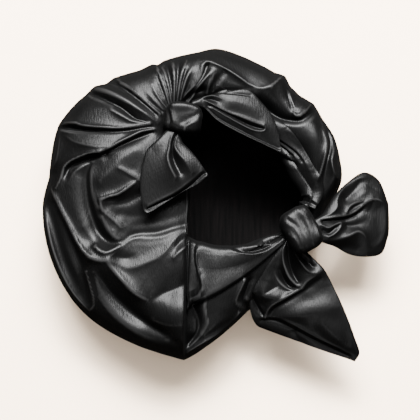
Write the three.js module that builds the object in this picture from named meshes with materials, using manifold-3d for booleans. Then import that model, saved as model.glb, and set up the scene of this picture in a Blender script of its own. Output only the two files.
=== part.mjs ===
// A satin bow hat: a soft round pouch of black satin with a velvet lining, lying on its crown with the
// opening up. Two sashes run round the opening and are tied together in two knots, and each knot leaves
// two free tails. Millimetres, +Z up, the origin on the resting plane under the middle of the hat.

import * as THREE from "three";
import { mergeVertices } from "three/addons/utils/BufferGeometryUtils.js";
import Module from "manifold-3d";

const wasm = await Module();
wasm.setup();

// Driving dimensions

const SATIN_WALL = 1.6; // satin with its interfacing, sewn and turned
const VELVET_WALL = 1.6; // pile and backing
const SEAT_GAP = 0.35; // clearance between pieces that lie on each other
const ROLL_WIDTH = 6; // the satin turns over the rim in a quarter round
const ROLL_DEPTH = 8;
const UNDER_INSET = 44; // from the widest line in to the flat disc that the hat rests on
const FOLD_REACH = 24; // a fold's pull on the cloth dies away over this distance
const CROWN_CENTRE = new THREE.Vector3(-24, 4, 0);
const LINING_INSET = 15; // the lining hangs this far inside the widest line
const LINING_FLOOR = SATIN_WALL + 0.4;

// How finely the cloth is divided

const ROLL_ROWS = 2;
const RIM_ROWS = 3;
const CREST_ROWS = 8;
const UNDER_ROWS = 3;
const LINING_COLUMNS = 46;
const FOLD_POINTS = 8;
const TAIL_STATIONS = 9;
const TAIL_STRIPS = 8;
const KNOT_SIDES = 14;
const KNOT_RINGS = 9;

// Rows of numbers with named columns
const table = (columns, rows) =>
  rows.map((row) => Object.fromEntries(columns.map((name, i) => [name, row[i]])));

// Sections through the pouch from the rim out to its widest line, clockwise from above the left knot.
// crest is where the cloth is highest, as a share of the way out, and strips is how many strips of cloth
// there are between this section and the next.
const SECTIONS = table(
  ["strips", "rimX", "rimY", "rimZ", "crest", "topZ", "edgeX", "edgeY", "edgeZ"],
  [
    [3, -32, 86, 82, 0.34, 90, -61, 148, 44], // left knot
    [3, -24, 93, 82, 0.34, 90, -32, 157, 44],
    [3, -12, 95, 80, 0.34, 89, 2, 162, 44],
    [4, 13, 82, 76, 0.32, 86, 36, 152, 44],
    [4, 45, 66, 74, 0.32, 84, 70, 136, 43],
    [4, 66, 49, 73, 0.32, 82, 100, 106, 42],
    [4, 80, 26, 72, 0.34, 80, 123, 64, 40],
    [4, 92, 4, 70, 0.42, 76, 128, 28, 38],
    [3, 87, -8, 66, 0.45, 71, 114, -1, 32], // right knot
    [3, 70, -26, 63, 0.45, 67, 101, -32, 30], // right knot
    [4, 52, -35, 66, 0.38, 69, 72, -60, 32],
    [4, 28, -45, 70, 0.3, 71, 35, -98, 34],
    [4, 1, -45, 72, 0.28, 73, 4, -127, 36],
    [4, -20, -38, 72, 0.26, 73, -24, -149, 38], // low side of the pleat
    [6, -29, -31, 82, 0.28, 87, -34, -152, 42], // high side of the pleat
    [6, -27, -16, 82, 0.3, 88, -77, -139, 42],
    [6, -25, 2, 82, 0.3, 88, -127, -109, 42],
    [6, -27, 22, 82, 0.3, 88, -160, -62, 42],
    [6, -35, 42, 82, 0.3, 88, -173, -8, 42],
    [5, -41, 55, 83, 0.3, 89, -167, 43, 42],
    [4, -41, 64, 83, 0.3, 89, -157, 81, 42], // left knot
    [3, -38, 72, 83, 0.32, 90, -132, 116, 43], // left knot
    [3, -35, 79, 83, 0.33, 90, -97, 134, 44], // left knot
  ],
);
const PLEAT = 13.5; // the overlapped edge lies between these two sections
const FAN_START = 9; // the sections from here to the pleat are the low front of the pouch

// Main folds of the crown. Each is a curve through three points, with its lift above the plain pouch there.
const FOLDS = table(
  ["side", "fromX", "fromY", "from", "midX", "midY", "mid", "toX", "toY", "to", "round"],
  [
    ["lobe", -153, 75, -6, -114, 69, -9, -64, 69, -4, 9], // slit beside the left knot
    ["lobe", -149, 84, 4, -116, 82, 5, -74, 80, 4, 12],
    ["lobe", -155, 17, 6, -115, 49, 9, -64, 64, 6, 10], // shoulder
    ["lobe", -141, 31, -5, -107, 42, -6, -70, 57, -3, 9],
    ["lobe", -111, 4, 10, -98, 30, 10, -73, 50, 6, 17], // puff under the hanging tail
    ["lobe", -122, 34, -7, -120, -6, -9, -95, -44, -9, 11],
    ["lobe", -158, 13, 6, -144, -26, 9, -119, -56, 8, 10], // long drape of the left side
    ["lobe", -117, -57, 8, -75, -36, 8, -32, -30, 6, 10],
    ["lobe", -112, -58, 8, -86, -83, 7, -63, -97, 6, 10],
    ["lobe", -63, -97, 6, -50, -95, 5, -34, -83, 4, 11],
    ["lobe", -165, -8, -3, -148, -52, -8, -121, -103, -5, 12],
    ["lobe", -118, -70, -5, -85, -98, -9, -40, -127, -7, 12],
    ["lobe", -113, -90, 4, -80, -114, 6, -40, -138, 4, 12],
    ["lobe", -124, 114, -4, -98, 95, -7, -72, 79, -4, 10], // gathers of the left knot
    ["lobe", -115, 119, 4, -89, 100, 6, -62, 81, 4, 10],
    ["lobe", -104, 126, -3, -82, 107, -6, -56, 82, -4, 9],
    ["lobe", -80, 134, 3, -67, 111, 5, -51, 90, 4, 11],
    ["lobe", -59, 144, -4, -50, 116, -5, -44, 96, -4, 9],
    ["back", -10, 147, 4, 16, 130, 6, 41, 112, 4, 7], // back of the crown
    ["back", 47, 107, -8, 57, 105, -9, 67, 118, -6, 8],
    ["back", 70, 128, 7, 73, 106, 8, 79, 85, 6, 7],
    ["back", 79, 84, 6, 89, 90, 7, 99, 102, 6, 7],
    ["back", 52, 89, -7, 71, 79, -9, 94, 89, -6, 8],
    ["back", 82, 69, 5, 100, 56, 8, 102, 29, 4, 11],
    ["back", 112, 77, -5, 115, 51, -7, 107, 18, -4, 7],
    ["fan", -17, -48, -6, -17, -89, -6, -20, -142, -4, 8], // shade beside the pleat
    ["fan", 2, -102, 3, 5, -112, 4, -8, -135, 2, 8],
  ],
);

// Fine gathers that run out of a knot, one for each section between from and to.
const GATHERS = table(
  ["from", "to", "lift", "reach"],
  [
    [-5, 2, 2.5, 0.75],
    [6, 11, 1.5, 0.8],
  ],
);

// Sashes that cover the rim between the knots: the sections that they run between, the rows of cloth that
// they cover from the rim out, and how thick they are at the hem and in the middle.
const SASHES = table(
  ["name", "from", "to", "rows", "hem", "puff"],
  [
    ["sash_back", 2.25, 7.75, ROLL_ROWS + RIM_ROWS, 1.2, 5],
    ["sash_front", 9.25, 12.75, ROLL_ROWS + RIM_ROWS + 2, 1.2, 2.6],
  ],
);

// Knots: a wrapped barrel with its middle at x, y, z and its axis turned from +X towards +Y.
const KNOTS = table(
  ["name", "x", "y", "z", "turn", "halfLength", "halfWidth", "halfHeight"],
  [
    ["knot_left", -33, 77, 95, -18, 21, 17, 15],
    ["knot_right", 83, -25, 72, 26, 18, 24, 18],
  ],
);
const KNOT_WRAPS = 3;
const WRAP_DEPTH = 0.05; // as a share of the barrel's radius

// Tails from knot to hem: both edges of the flat tube, its height, how full it is, and the depth of the
// fold that the knot puts in it.
const TAIL_COLUMNS = ["leftX", "leftY", "rightX", "rightY", "z", "thick", "fold"];
const TAILS = {
  tail_left_down: table(TAIL_COLUMNS, [
    [-44, 72, -31, 70, 97, 7, 3],
    [-60, 47, -28, 50, 98, 6, 5],
    [-69, 21, -20, 39, 97, 5, 3],
    [-71, 2, -13, 29, 95, 4, 1],
    [-66, -16, -8, 22, 93, 3, 0],
  ]),
  tail_left_right: table(TAIL_COLUMNS, [
    [-26, 92, -24, 84, 97, 7, 3],
    [-3, 102, -4, 81, 96, 6, 5],
    [20, 106, 17, 68, 94, 5, 4],
    [42, 104, 43, 56, 90, 4, 2],
    [61, 77, 65, 46, 86, 3, 0],
  ]),
  tail_right_up: table(TAIL_COLUMNS, [
    [93, -17, 93, -33, 73, 9, 3],
    [114, 3, 117, -41, 63, 9, 6],
    [132, 20, 137, -47, 54, 9, 5],
    [156, 34, 162, -49, 46, 8, 3],
    [170, 14, 173, -34, 41, 5, 0],
  ]),
  tail_right_down: table(TAIL_COLUMNS, [
    [74, -33, 89, -36, 67, 9, 3],
    [54, -60, 105, -61, 58, 9, 6],
    [40, -82, 117, -83, 50, 10, 4],
    [36, -99, 130, -110, 42, 10, 2],
    [45, -119, 141, -149, 35, 8, 0],
  ]),
};
const TAIL_HEM = 1; // half the thickness of a tail's sewn edge

const SATIN = new THREE.MeshStandardMaterial({ color: "#17171a", roughness: 0.38, metalness: 0 });
const VELVET = new THREE.MeshStandardMaterial({ color: "#060607", roughness: 0.95, metalness: 0 });

// Grids of points: an array of rows, each an array of points

const quarter = (i, rows) => ((i / rows) * Math.PI) / 2;
const plan = (v) => new THREE.Vector3(v.x, v.y, 0);
const inPlan = (a, b, share, z) => new THREE.Vector3().lerpVectors(a, b, share).setZ(z);

// Unit normals of a grid whose columns run clockwise from above and whose rows run outwards, evened out
// over neighbours so that an offset surface doesn't cross itself in a tight fold.
function smoothNormals(grid, wraps) {
  const EVEN_PASSES = 8;
  const at = (rows, i, j) => {
    const row = rows[Math.min(Math.max(i, 0), rows.length - 1)];
    const n = row.length;
    return row[wraps ? (j + n) % n : Math.min(Math.max(j, 0), n - 1)];
  };
  let normals = grid.map((row, i) =>
    row.map((_, j) => {
      const across = at(grid, i, j + 1).clone().sub(at(grid, i, j - 1));
      const out = at(grid, i + 1, j).clone().sub(at(grid, i - 1, j));
      return across.cross(out).normalize();
    }),
  );
  for (let pass = 0; pass < EVEN_PASSES; pass++)
    normals = normals.map((row, i) =>
      row.map((n, j) =>
        n
          .clone()
          .multiplyScalar(2)
          .add(at(normals, i, j - 1))
          .add(at(normals, i, j + 1))
          .normalize(),
      ),
    );
  return normals;
}

const offsetGrid = (grid, normals, amount) =>
  grid.map((row, i) => row.map((p, j) => p.clone().addScaledVector(normals[i][j], amount(i, j))));

// The plain pouch, before its folds

const closedCurve = (pointOf) =>
  new THREE.CatmullRomCurve3(SECTIONS.map(pointOf), true, "centripetal");
const RIM = closedCurve((s) => new THREE.Vector3(s.rimX, s.rimY, s.rimZ));
const EDGE = closedCurve((s) => new THREE.Vector3(s.edgeX, s.edgeY, s.edgeZ));
const CREST = closedCurve(
  (s) =>
    new THREE.Vector3(
      THREE.MathUtils.lerp(s.rimX, s.edgeX, s.crest),
      THREE.MathUtils.lerp(s.rimY, s.edgeY, s.crest),
      s.topZ,
    ),
);
const COLUMN_SECTIONS = SECTIONS.flatMap((s, i) =>
  Array.from({ length: s.strips }, (_, k) => i + k / s.strips),
);
const EDGE_ROW = ROLL_ROWS + RIM_ROWS + CREST_ROWS;

const towardsCentre = (point) => plan(CROWN_CENTRE).sub(plan(point)).normalize();

// From the widest line, under to the flat disc at the height floor
function underside(edge, floor) {
  const inward = towardsCentre(edge);
  return Array.from({ length: UNDER_ROWS }, (_, k) => {
    const turn = quarter(k + 1, UNDER_ROWS);
    return edge
      .clone()
      .addScaledVector(inward, UNDER_INSET * (1 - Math.cos(turn)))
      .setZ(floor + (edge.z - floor) * (1 - Math.sin(turn)));
  });
}

function crownColumn(t) {
  const [rim, crest, edge] = [RIM, CREST, EDGE].map((curve) => curve.getPoint(t));
  const out = plan(crest).sub(plan(rim)).normalize();
  const column = [];
  for (let i = 0; i <= ROLL_ROWS; i++) {
    const turn = quarter(i, ROLL_ROWS);
    const z = rim.z - ROLL_DEPTH * (1 - Math.sin(turn));
    column.push(rim.clone().addScaledVector(out, ROLL_WIDTH * (1 - Math.cos(turn))).setZ(z));
  }
  const rollTop = column[ROLL_ROWS];
  for (let i = 1; i <= RIM_ROWS; i++) {
    const rise = Math.sin(quarter(i, RIM_ROWS));
    column.push(inPlan(rollTop, crest, i / RIM_ROWS, THREE.MathUtils.lerp(rim.z, crest.z, rise)));
  }
  for (let i = 1; i <= CREST_ROWS; i++) {
    const turn = quarter(i, CREST_ROWS);
    const z = edge.z + (crest.z - edge.z) * Math.cos(turn);
    column.push(inPlan(crest, edge, Math.sin(turn), z));
  }
  return column.concat(underside(edge, 0));
}

// The lining hangs from behind the rolled rim, out to its own widest line and under to its floor.
function liningColumn(t) {
  const TUCK = VELVET_WALL + 1; // behind the rolled rim
  const DROP = ROLL_DEPTH + 2.5; // below the rolled rim
  const LINING_ROWS = 4;
  const SAG = 1.8; // between a round wall at 1 and a straight one at 2
  const [rim, crest, edge] = [RIM, CREST, EDGE].map((curve) => curve.getPoint(t));
  const out = plan(crest).sub(plan(rim)).normalize();
  const top = rim.clone().addScaledVector(out, TUCK).setZ(rim.z - DROP);
  const widest = edge.clone().addScaledVector(towardsCentre(edge), LINING_INSET);
  const column = [];
  for (let i = 0; i <= LINING_ROWS; i++) {
    const turn = quarter(i, LINING_ROWS);
    const z = widest.z + (top.z - widest.z) * Math.cos(turn) ** SAG;
    column.push(inPlan(top, widest, Math.sin(turn) ** SAG, z));
  }
  return column.concat(underside(widest, LINING_FLOOR));
}

// Columns of points, at shares of the way round, as a grid of rows
function gridOf(columnAt, shares) {
  const columns = shares.map(columnAt);
  return columns[0].map((_, i) => columns.map((column) => column[i]));
}

// Folds

const foldLines = FOLDS.map((f) => {
  const from = new THREE.Vector3(f.fromX, f.fromY, f.from);
  const mid = new THREE.Vector3(f.midX, f.midY, f.mid);
  const to = new THREE.Vector3(f.toX, f.toY, f.to);
  const control = mid.multiplyScalar(2).sub(from.clone().add(to).multiplyScalar(0.5));
  const points = new THREE.QuadraticBezierCurve3(from, control, to).getPoints(FOLD_POINTS);
  return { side: f.side, round: f.round, points };
});

// Distance in plan from a point to a fold, and the fold's lift at its nearest place
function nearest(points, p) {
  let best = { distance: Infinity, lift: 0 };
  for (let i = 1; i < points.length; i++) {
    const [a, b] = [points[i - 1], points[i]];
    const along = plan(b).sub(plan(a));
    const share = plan(p).sub(plan(a)).dot(along) / along.lengthSq();
    const spot = a.clone().lerp(b, THREE.MathUtils.clamp(share, 0, 1));
    const distance = Math.hypot(p.x - spot.x, p.y - spot.y);
    if (distance < best.distance) best = { distance, lift: spot.z };
  }
  return best;
}

// The cloth takes each fold's lift near it, and lies plain where no fold is near.
function foldLift(p, section) {
  const hidden = section > PLEAT ? "fan" : section >= FAN_START ? "lobe" : "";
  let pull = FOLD_REACH ** -4;
  let lift = 0;
  for (const fold of foldLines) {
    if (fold.side === hidden) continue;
    const near = nearest(fold.points, p);
    const weight = (near.distance ** 2 + fold.round ** 2) ** -2;
    pull += weight;
    lift += weight * near.lift;
  }
  return lift / pull;
}

function gatherLift(section, out) {
  const around = SECTIONS.length;
  return GATHERS.reduce((sum, g) => {
    const s = (section - g.from + around) % around;
    const span = g.to - g.from;
    if (s > span) return sum;
    const window = Math.sin((Math.PI * s) / span);
    const fade = Math.max(0, 1 - out / g.reach);
    return sum + g.lift * window * fade * Math.cos(2 * Math.PI * s);
  }, 0);
}

const crownBase = gridOf(
  crownColumn,
  COLUMN_SECTIONS.map((section) => section / SECTIONS.length),
);
const baseNormals = smoothNormals(crownBase, true);
const crownLift = crownBase.map((row, i) =>
  row.map((_, j) => {
    const section = COLUMN_SECTIONS[j];
    const seen = crownBase[Math.min(i, EDGE_ROW)][j];
    const out = Math.min(i, EDGE_ROW) / EDGE_ROW;
    const overRim = Math.min(1, i / (ROLL_ROWS + 1));
    const under = Math.cos(quarter(Math.max(0, i - EDGE_ROW), UNDER_ROWS)) ** 2;
    return (foldLift(seen, section) + gatherLift(section, out)) * overRim * under;
  }),
);
const crownFace = offsetGrid(crownBase, baseNormals, (i, j) => crownLift[i][j]);
const crownSurface = (offset) => offsetGrid(crownFace, baseNormals, () => offset);

// Grids as closed meshes

function geometryFrom(points, triangles) {
  return new THREE.BufferGeometry()
    .setFromPoints(points)
    .setIndex(triangles.flat());
}

// A pouch between two wrapped grids, open at the first row and closed at the last by a flat disc.
function shellGeometry(outer, inner, outerFloor, innerFloor) {
  const rows = outer.length;
  const n = outer[0].length;
  const face = (floor, grid) => [...grid.flat(), CROWN_CENTRE.clone().setZ(floor)];
  const points = [...face(outerFloor, outer), ...face(innerFloor, inner)];
  const half = rows * n + 1;
  const id = (i, j, side) => side * half + i * n + (j % n);
  const triangles = [];
  const quad = (a, b, c, d) => triangles.push([a, b, c], [a, c, d]);
  for (let j = 0; j < n; j++) {
    for (let i = 0; i + 1 < rows; i++) {
      quad(id(i, j, 0), id(i, j + 1, 0), id(i + 1, j + 1, 0), id(i + 1, j, 0));
      quad(id(i, j, 1), id(i + 1, j, 1), id(i + 1, j + 1, 1), id(i, j + 1, 1));
    }
    triangles.push([id(rows - 1, j, 0), id(rows - 1, j + 1, 0), half - 1]);
    triangles.push([id(rows - 1, j + 1, 1), id(rows - 1, j, 1), 2 * half - 1]);
    quad(id(0, j + 1, 0), id(0, j, 0), id(0, j, 1), id(0, j + 1, 1));
  }
  return geometryFrom(points, triangles);
}

// A plate between two open grids, walled all round.
function plateGeometry(top, bottom) {
  const [rows, n] = [top.length, top[0].length];
  const id = (i, j, side) => side * rows * n + i * n + j;
  const triangles = [];
  const quad = (a, b, c, d) => triangles.push([a, b, c], [a, c, d]);
  const wall = (i0, j0, i1, j1) => quad(id(i1, j1, 0), id(i0, j0, 0), id(i0, j0, 1), id(i1, j1, 1));
  for (let i = 0; i + 1 < rows; i++)
    for (let j = 0; j + 1 < n; j++) {
      quad(id(i, j, 0), id(i, j + 1, 0), id(i + 1, j + 1, 0), id(i + 1, j, 0));
      quad(id(i, j, 1), id(i + 1, j, 1), id(i + 1, j + 1, 1), id(i, j + 1, 1));
    }
  for (let j = 0; j + 1 < n; j++) {
    wall(0, j, 0, j + 1);
    wall(rows - 1, j + 1, rows - 1, j);
  }
  for (let i = 0; i + 1 < rows; i++) {
    wall(i + 1, 0, i, 0);
    wall(i, n - 1, i + 1, n - 1);
  }
  return geometryFrom([...top.flat(), ...bottom.flat()], triangles);
}

// Cutting

function solidOf(geometry) {
  const bare = new THREE.BufferGeometry()
    .setAttribute("position", geometry.getAttribute("position"))
    .setIndex(geometry.index);
  const merged = mergeVertices(bare, 1e-4);
  return new wasm.Manifold(
    new wasm.Mesh({
      numProp: 3,
      vertProperties: merged.getAttribute("position").array,
      triVerts: new Uint32Array(merged.index.array),
    }),
  );
}

// The largest piece that is left of a solid when its neighbours are cut away
function trimmed(solid, neighbours) {
  const cut = neighbours.reduce((rest, neighbour) => rest.subtract(neighbour), solid);
  const main = cut.decompose().reduce((a, b) => (a.volume() > b.volume() ? a : b));
  const mesh = main.getMesh();
  return new THREE.BufferGeometry()
    .setAttribute("position", new THREE.BufferAttribute(mesh.vertProperties, 3))
    .setIndex(new THREE.BufferAttribute(mesh.triVerts, 1));
}

// The pieces, each also as a solid grown by the clearance that its neighbours keep from it

const crownShell = (grow) =>
  shellGeometry(
    crownSurface(grow),
    crownSurface(-SATIN_WALL - grow),
    -grow,
    SATIN_WALL + grow,
  );

function liningShell(grow) {
  const shares = Array.from({ length: LINING_COLUMNS }, (_, j) => j / LINING_COLUMNS);
  const face = gridOf(liningColumn, shares);
  const normals = smoothNormals(face, true);
  const outer = offsetGrid(face, normals, () => grow);
  const inner = offsetGrid(face, normals, () => -VELVET_WALL - grow);
  return shellGeometry(outer, inner, LINING_FLOOR - grow, LINING_FLOOR + VELVET_WALL + grow);
}

function sashPlate(sash, grow) {
  const margin = grow > 0 ? 1 : 0; // a grown sash also covers the next row and column
  const first = COLUMN_SECTIONS.findIndex((section) => section >= sash.from);
  const last = COLUMN_SECTIONS.findLastIndex((section) => section <= sash.to);
  const bulge = (share) => Math.sin(Math.PI * THREE.MathUtils.clamp(share, 0, 1)) ** 0.7;
  const surface = (heightAt) => {
    const rows = [];
    for (let i = 0; i <= sash.rows + margin; i++) {
      const row = [];
      for (let j = first - margin; j <= last + margin; j++) {
        const full = bulge(i / sash.rows) * bulge((j - first) / (last - first));
        const lift = heightAt(sash.hem + sash.puff * full);
        row.push(crownFace[i][j].clone().addScaledVector(baseNormals[i][j], lift));
      }
      rows.push(row);
    }
    return rows;
  };
  const top = surface((thickness) => SEAT_GAP + thickness + grow);
  const bottom = surface(() => SEAT_GAP - grow);
  return plateGeometry(top, bottom);
}

// A barrel round its axis, with shallow grooves between the wraps
function knotBarrel(knot, grow) {
  const profile = Array.from({ length: KNOT_RINGS + 1 }, (_, i) => {
    const angle = (i / KNOT_RINGS) * Math.PI;
    const groove = 1 - WRAP_DEPTH * Math.cos(2 * KNOT_WRAPS * angle) ** 2;
    return new THREE.Vector2(Math.sin(angle) ** 0.6 * groove, -Math.cos(angle));
  });
  profile[0].x = 0;
  profile[KNOT_RINGS].x = 0;
  return new THREE.LatheGeometry(profile, KNOT_SIDES)
    .rotateZ(-Math.PI / 2)
    .scale(knot.halfLength + grow, knot.halfWidth + grow, knot.halfHeight + grow)
    .rotateZ(THREE.MathUtils.degToRad(knot.turn))
    .translate(knot.x, knot.y, knot.z);
}

function tailPlate(stations) {
  const rail = (pointOf) => new THREE.CatmullRomCurve3(stations.map(pointOf), false, "centripetal");
  const left = rail((s) => new THREE.Vector3(s.leftX, s.leftY, s.z));
  const right = rail((s) => new THREE.Vector3(s.rightX, s.rightY, s.z));
  const fullness = rail((s) => new THREE.Vector3(s.thick, s.fold, 0));
  const middle = [];
  const half = [];
  for (let i = 0; i <= TAIL_STATIONS; i++) {
    const t = i / TAIL_STATIONS;
    const [a, b, full] = [left, right, fullness].map((curve) => curve.getPoint(t));
    const shares = Array.from({ length: TAIL_STRIPS + 1 }, (_, j) => j / TAIL_STRIPS);
    middle.push(
      shares.map((s) => {
        const p = a.clone().lerp(b, s);
        return p.setZ(p.z - full.y * Math.sin(2 * Math.PI * s) * Math.sin(Math.PI * s));
      }),
    );
    const puff = Math.max(0, full.x / 2 - TAIL_HEM);
    half.push(shares.map((s) => TAIL_HEM + puff * Math.sqrt(Math.max(0, 1 - (2 * s - 1) ** 2))));
  }
  const normals = smoothNormals(middle, false).map((row) =>
    row.map((n) => n.multiplyScalar(Math.sign(n.z))),
  );
  const top = offsetGrid(middle, normals, (i, j) => half[i][j]);
  const bottom = offsetGrid(middle, normals, (i, j) => -half[i][j]);
  return plateGeometry(top, bottom);
}

// Faces that were laid the other way round are turned to point out.
function facingOut(geometry) {
  if (solidOf(geometry).volume() > 0) return geometry;
  const index = geometry.index;
  for (let i = 0; i < index.count; i += 3) {
    const b = index.getX(i + 1);
    index.setX(i + 1, index.getX(i + 2));
    index.setX(i + 2, b);
  }
  return geometry;
}

// Assembly

const hat = new THREE.Group();
function add(name, geometry, material) {
  geometry.computeVertexNormals();
  const mesh = new THREE.Mesh(geometry, material);
  mesh.name = name;
  hat.add(mesh);
}

const crownRoom = solidOf(crownShell(SEAT_GAP));
add("crown", crownShell(0), SATIN);
add("lining", trimmed(solidOf(liningShell(0)), [crownRoom]), VELVET);
const cloth = [crownRoom, solidOf(liningShell(SEAT_GAP))];

const sashRoom = [];
for (const sash of SASHES) {
  add(sash.name, trimmed(solidOf(facingOut(sashPlate(sash, 0))), cloth), SATIN);
  sashRoom.push(solidOf(facingOut(sashPlate(sash, SEAT_GAP))));
}

const knotRoom = [];
for (const knot of KNOTS) {
  add(knot.name, trimmed(solidOf(facingOut(knotBarrel(knot, 0))), [...cloth, ...sashRoom]), SATIN);
  knotRoom.push(solidOf(facingOut(knotBarrel(knot, SEAT_GAP))));
}

for (const [name, stations] of Object.entries(TAILS)) {
  const neighbours = [...cloth, ...sashRoom, ...knotRoom];
  add(name, trimmed(solidOf(facingOut(tailPlate(stations))), neighbours), SATIN);
}

// The origin goes under the middle of the hat's own box, on the plane that it rests on.
const box = new THREE.Box3().setFromObject(hat);
const middle = box.getCenter(new THREE.Vector3());
hat.position.set(-middle.x, -middle.y, -box.min.z);

export default hat;
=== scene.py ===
# %% [markdown]
# # A satin bow hat
# The hat is a round pouch of black satin with a velvet lining. It lies on its crown, so we look into the
# opening. Two sashes run along the rim and are tied in two knots, and each knot leaves two loose tails.
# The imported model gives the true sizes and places. Here every piece of cloth is made again, finely enough
# to carry its folds.

# %% Frame
import math
from collections import namedtuple

import bpy
import numpy as np
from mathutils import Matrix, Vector


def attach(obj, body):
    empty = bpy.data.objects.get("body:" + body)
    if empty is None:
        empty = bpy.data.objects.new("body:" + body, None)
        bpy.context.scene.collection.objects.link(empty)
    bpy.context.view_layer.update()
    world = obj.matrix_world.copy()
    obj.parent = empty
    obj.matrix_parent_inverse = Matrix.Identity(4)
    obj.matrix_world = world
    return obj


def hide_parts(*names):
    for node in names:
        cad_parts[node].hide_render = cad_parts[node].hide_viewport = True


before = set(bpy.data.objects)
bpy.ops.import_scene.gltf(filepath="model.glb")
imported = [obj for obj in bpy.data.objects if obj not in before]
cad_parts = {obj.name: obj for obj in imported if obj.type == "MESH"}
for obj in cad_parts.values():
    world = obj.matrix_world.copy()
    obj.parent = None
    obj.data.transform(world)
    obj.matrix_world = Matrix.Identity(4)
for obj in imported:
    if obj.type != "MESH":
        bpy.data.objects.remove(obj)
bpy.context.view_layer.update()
bpy.ops.object.select_all(action="DESELECT")
MM = 0.001  # the hat's lengths are in millimetres, and Blender's are in metres
print("nodes in the frame:", sorted(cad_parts))

# %% [markdown]
# ## Camera
# The photograph looks almost straight down. A long lens keeps the hat's proportions, and its distance and
# focal length are chosen so that one pixel is one millimetre halfway up the hat. The two functions below go
# from a place on the hat to its pixel and back, so a fold can be put where the photograph shows it.

# %% Camera and its two maps
PHOTO_PX = 420
CAMERA_TILT = math.radians(10)  # away from straight down
CAMERA_DISTANCE = 1500
FOCAL_PX = 1500
SENSOR = 36  # the width of a common film frame, from which Blender works out the lens
AIM = np.array([-3.9, -10.2, 50.0])
RIGHT = np.array([1.0, 0.0, 0.0])
UP = np.array([0.0, math.cos(CAMERA_TILT), math.sin(CAMERA_TILT)])
FORWARD = np.array([0.0, math.sin(CAMERA_TILT), -math.cos(CAMERA_TILT)])
EYE = AIM - CAMERA_DISTANCE * FORWARD


def to_photo(points):
    """Pixels at which the camera sees points of the hat."""
    seen = points - EYE
    depth = seen @ FORWARD
    across = seen @ RIGHT / depth
    down = -(seen @ UP) / depth
    return PHOTO_PX / 2 + FOCAL_PX * np.stack([across, down], axis=-1)


def from_photo(pixels, height):
    """Points of the hat at a height, where the camera sees them at these pixels."""
    across, down = (np.asarray(pixels, float) - PHOTO_PX / 2).T / FOCAL_PX
    ray = FORWARD + across[:, None] * RIGHT - down[:, None] * UP
    reach = (np.asarray(height, float) - EYE[2]) / ray[:, 2]
    return EYE + reach[:, None] * ray


bpy.ops.object.camera_add(location=EYE * MM, rotation=(CAMERA_TILT, 0, 0))
camera = bpy.context.object
camera.name = "camera"
camera.data.sensor_width = SENSOR
camera.data.lens = SENSOR * FOCAL_PX / PHOTO_PX
bpy.context.scene.camera = camera
print("lens:", round(camera.data.lens, 1), "mm")

# %% [markdown]
# ## Tables and curves
# Each form of the hat is a short table with a name for every column. Cloth has no corners between two rows
# of such a table, so a smooth curve runs through them. Blender's own curve objects could do this too, but
# here the curve has to be read at thousands of places, which a small function does at once.

# %% Tables and curves
SHORTEST_GAP = 1e-3  # two points of a curve may lie in the same place


def table(*columns):
    """Turns rows of numbers into one array for each named column."""
    return lambda rows: dict(zip(columns, np.array(rows, float).T))


def spline(points, where, closed=False):
    """A smooth curve through points, at whole and part steps from the first one."""
    points, where = np.asarray(points, float), np.asarray(where, float)
    n = len(points)
    step = np.floor(where).astype(int)
    if closed:
        around = [points[(step + i) % n] for i in (-1, 0, 1, 2)]
    else:
        step = np.clip(step, 0, n - 2)
        longer = np.vstack([2 * points[0] - points[1], points, 2 * points[-1] - points[-2]])
        around = [longer[step + i] for i in range(4)]
    gaps = [np.sqrt(np.linalg.norm(b - a, axis=1))[:, None] for a, b in zip(around, around[1:])]
    gaps = [np.maximum(g, SHORTEST_GAP) for g in gaps]
    (p0, p1, p2, p3), (g0, g1, g2) = around, gaps
    leave = ((p1 - p0) / g0 - (p2 - p0) / (g0 + g1) + (p2 - p1) / g1) * g1
    arrive = ((p2 - p1) / g1 - (p3 - p1) / (g1 + g2) + (p3 - p2) / g2) * g1
    t = (where - step)[:, None]
    straight = (2 * t**3 - 3 * t**2 + 1) * p1 + (3 * t**2 - 2 * t**3) * p2
    return straight + (t**3 - 2 * t**2 + t) * leave + (t**3 - t**2) * arrive


# %% [markdown]
# ## Folds
# A fold is a ridge or a valley that a pull puts into the cloth. A cloth simulation would make folds too,
# but its own ones, and these have to lie where the real ones do. So each fold is a line drawn over the
# photograph, with how far it lifts the cloth at a few stations. Between two folds the cloth runs
# straight from one to the other, as pulled cloth does.

# %% Folds and the lift that they give
FOLD_STEPS = 4  # straight pieces between two stations of a fold
PLAIN = 0.3  # how strongly the cloth goes back to its plain form between folds
FAR = 4  # a fold is left out this many reaches away from it
TINY = 1e-9  # keeps a division by nothing from failing
Fold = namedtuple("Fold", "round stations")  # each station is pixel x, pixel y and lift in mm


def folds(*rows):
    """Each row gives how round a fold is, then its stations."""
    return [Fold(row[0], np.array(row[1:], float)) for row in rows]


def relief(pixels, creases, reach):
    """How far folds lift a cloth that is seen at these pixels. It lies plain where no fold is in reach."""
    flat = pixels.reshape(-1, 2)
    pull = np.full(len(flat), PLAIN / reach)
    lift = np.zeros(len(flat))
    for crease in creases:
        last = len(crease.stations) - 1
        line = spline(crease.stations, np.linspace(0, last, last * FOLD_STEPS + 1))
        low = line[:, :2].min(axis=0) - FAR * reach
        high = line[:, :2].max(axis=0) + FAR * reach
        near = np.flatnonzero(((flat > low) & (flat < high)).all(axis=1))
        distance, height = np.full(len(near), np.inf), np.zeros(len(near))
        for start, end in zip(line, line[1:]):
            along = end[:2] - start[:2]
            share = np.clip((flat[near] - start[:2]) @ along / (along @ along + TINY), 0, 1)
            away = np.hypot(*(flat[near] - start[:2] - share[:, None] * along).T)
            height = np.where(away < distance, start[2] + share * (end[2] - start[2]), height)
            distance = np.minimum(away, distance)
        weight = (1 + crease.round / 2) * np.exp(-distance / reach) / np.hypot(distance, crease.round)
        pull[near] += weight
        lift[near] += weight * height
    return (lift / pull).reshape(pixels.shape[:-1])
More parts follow.
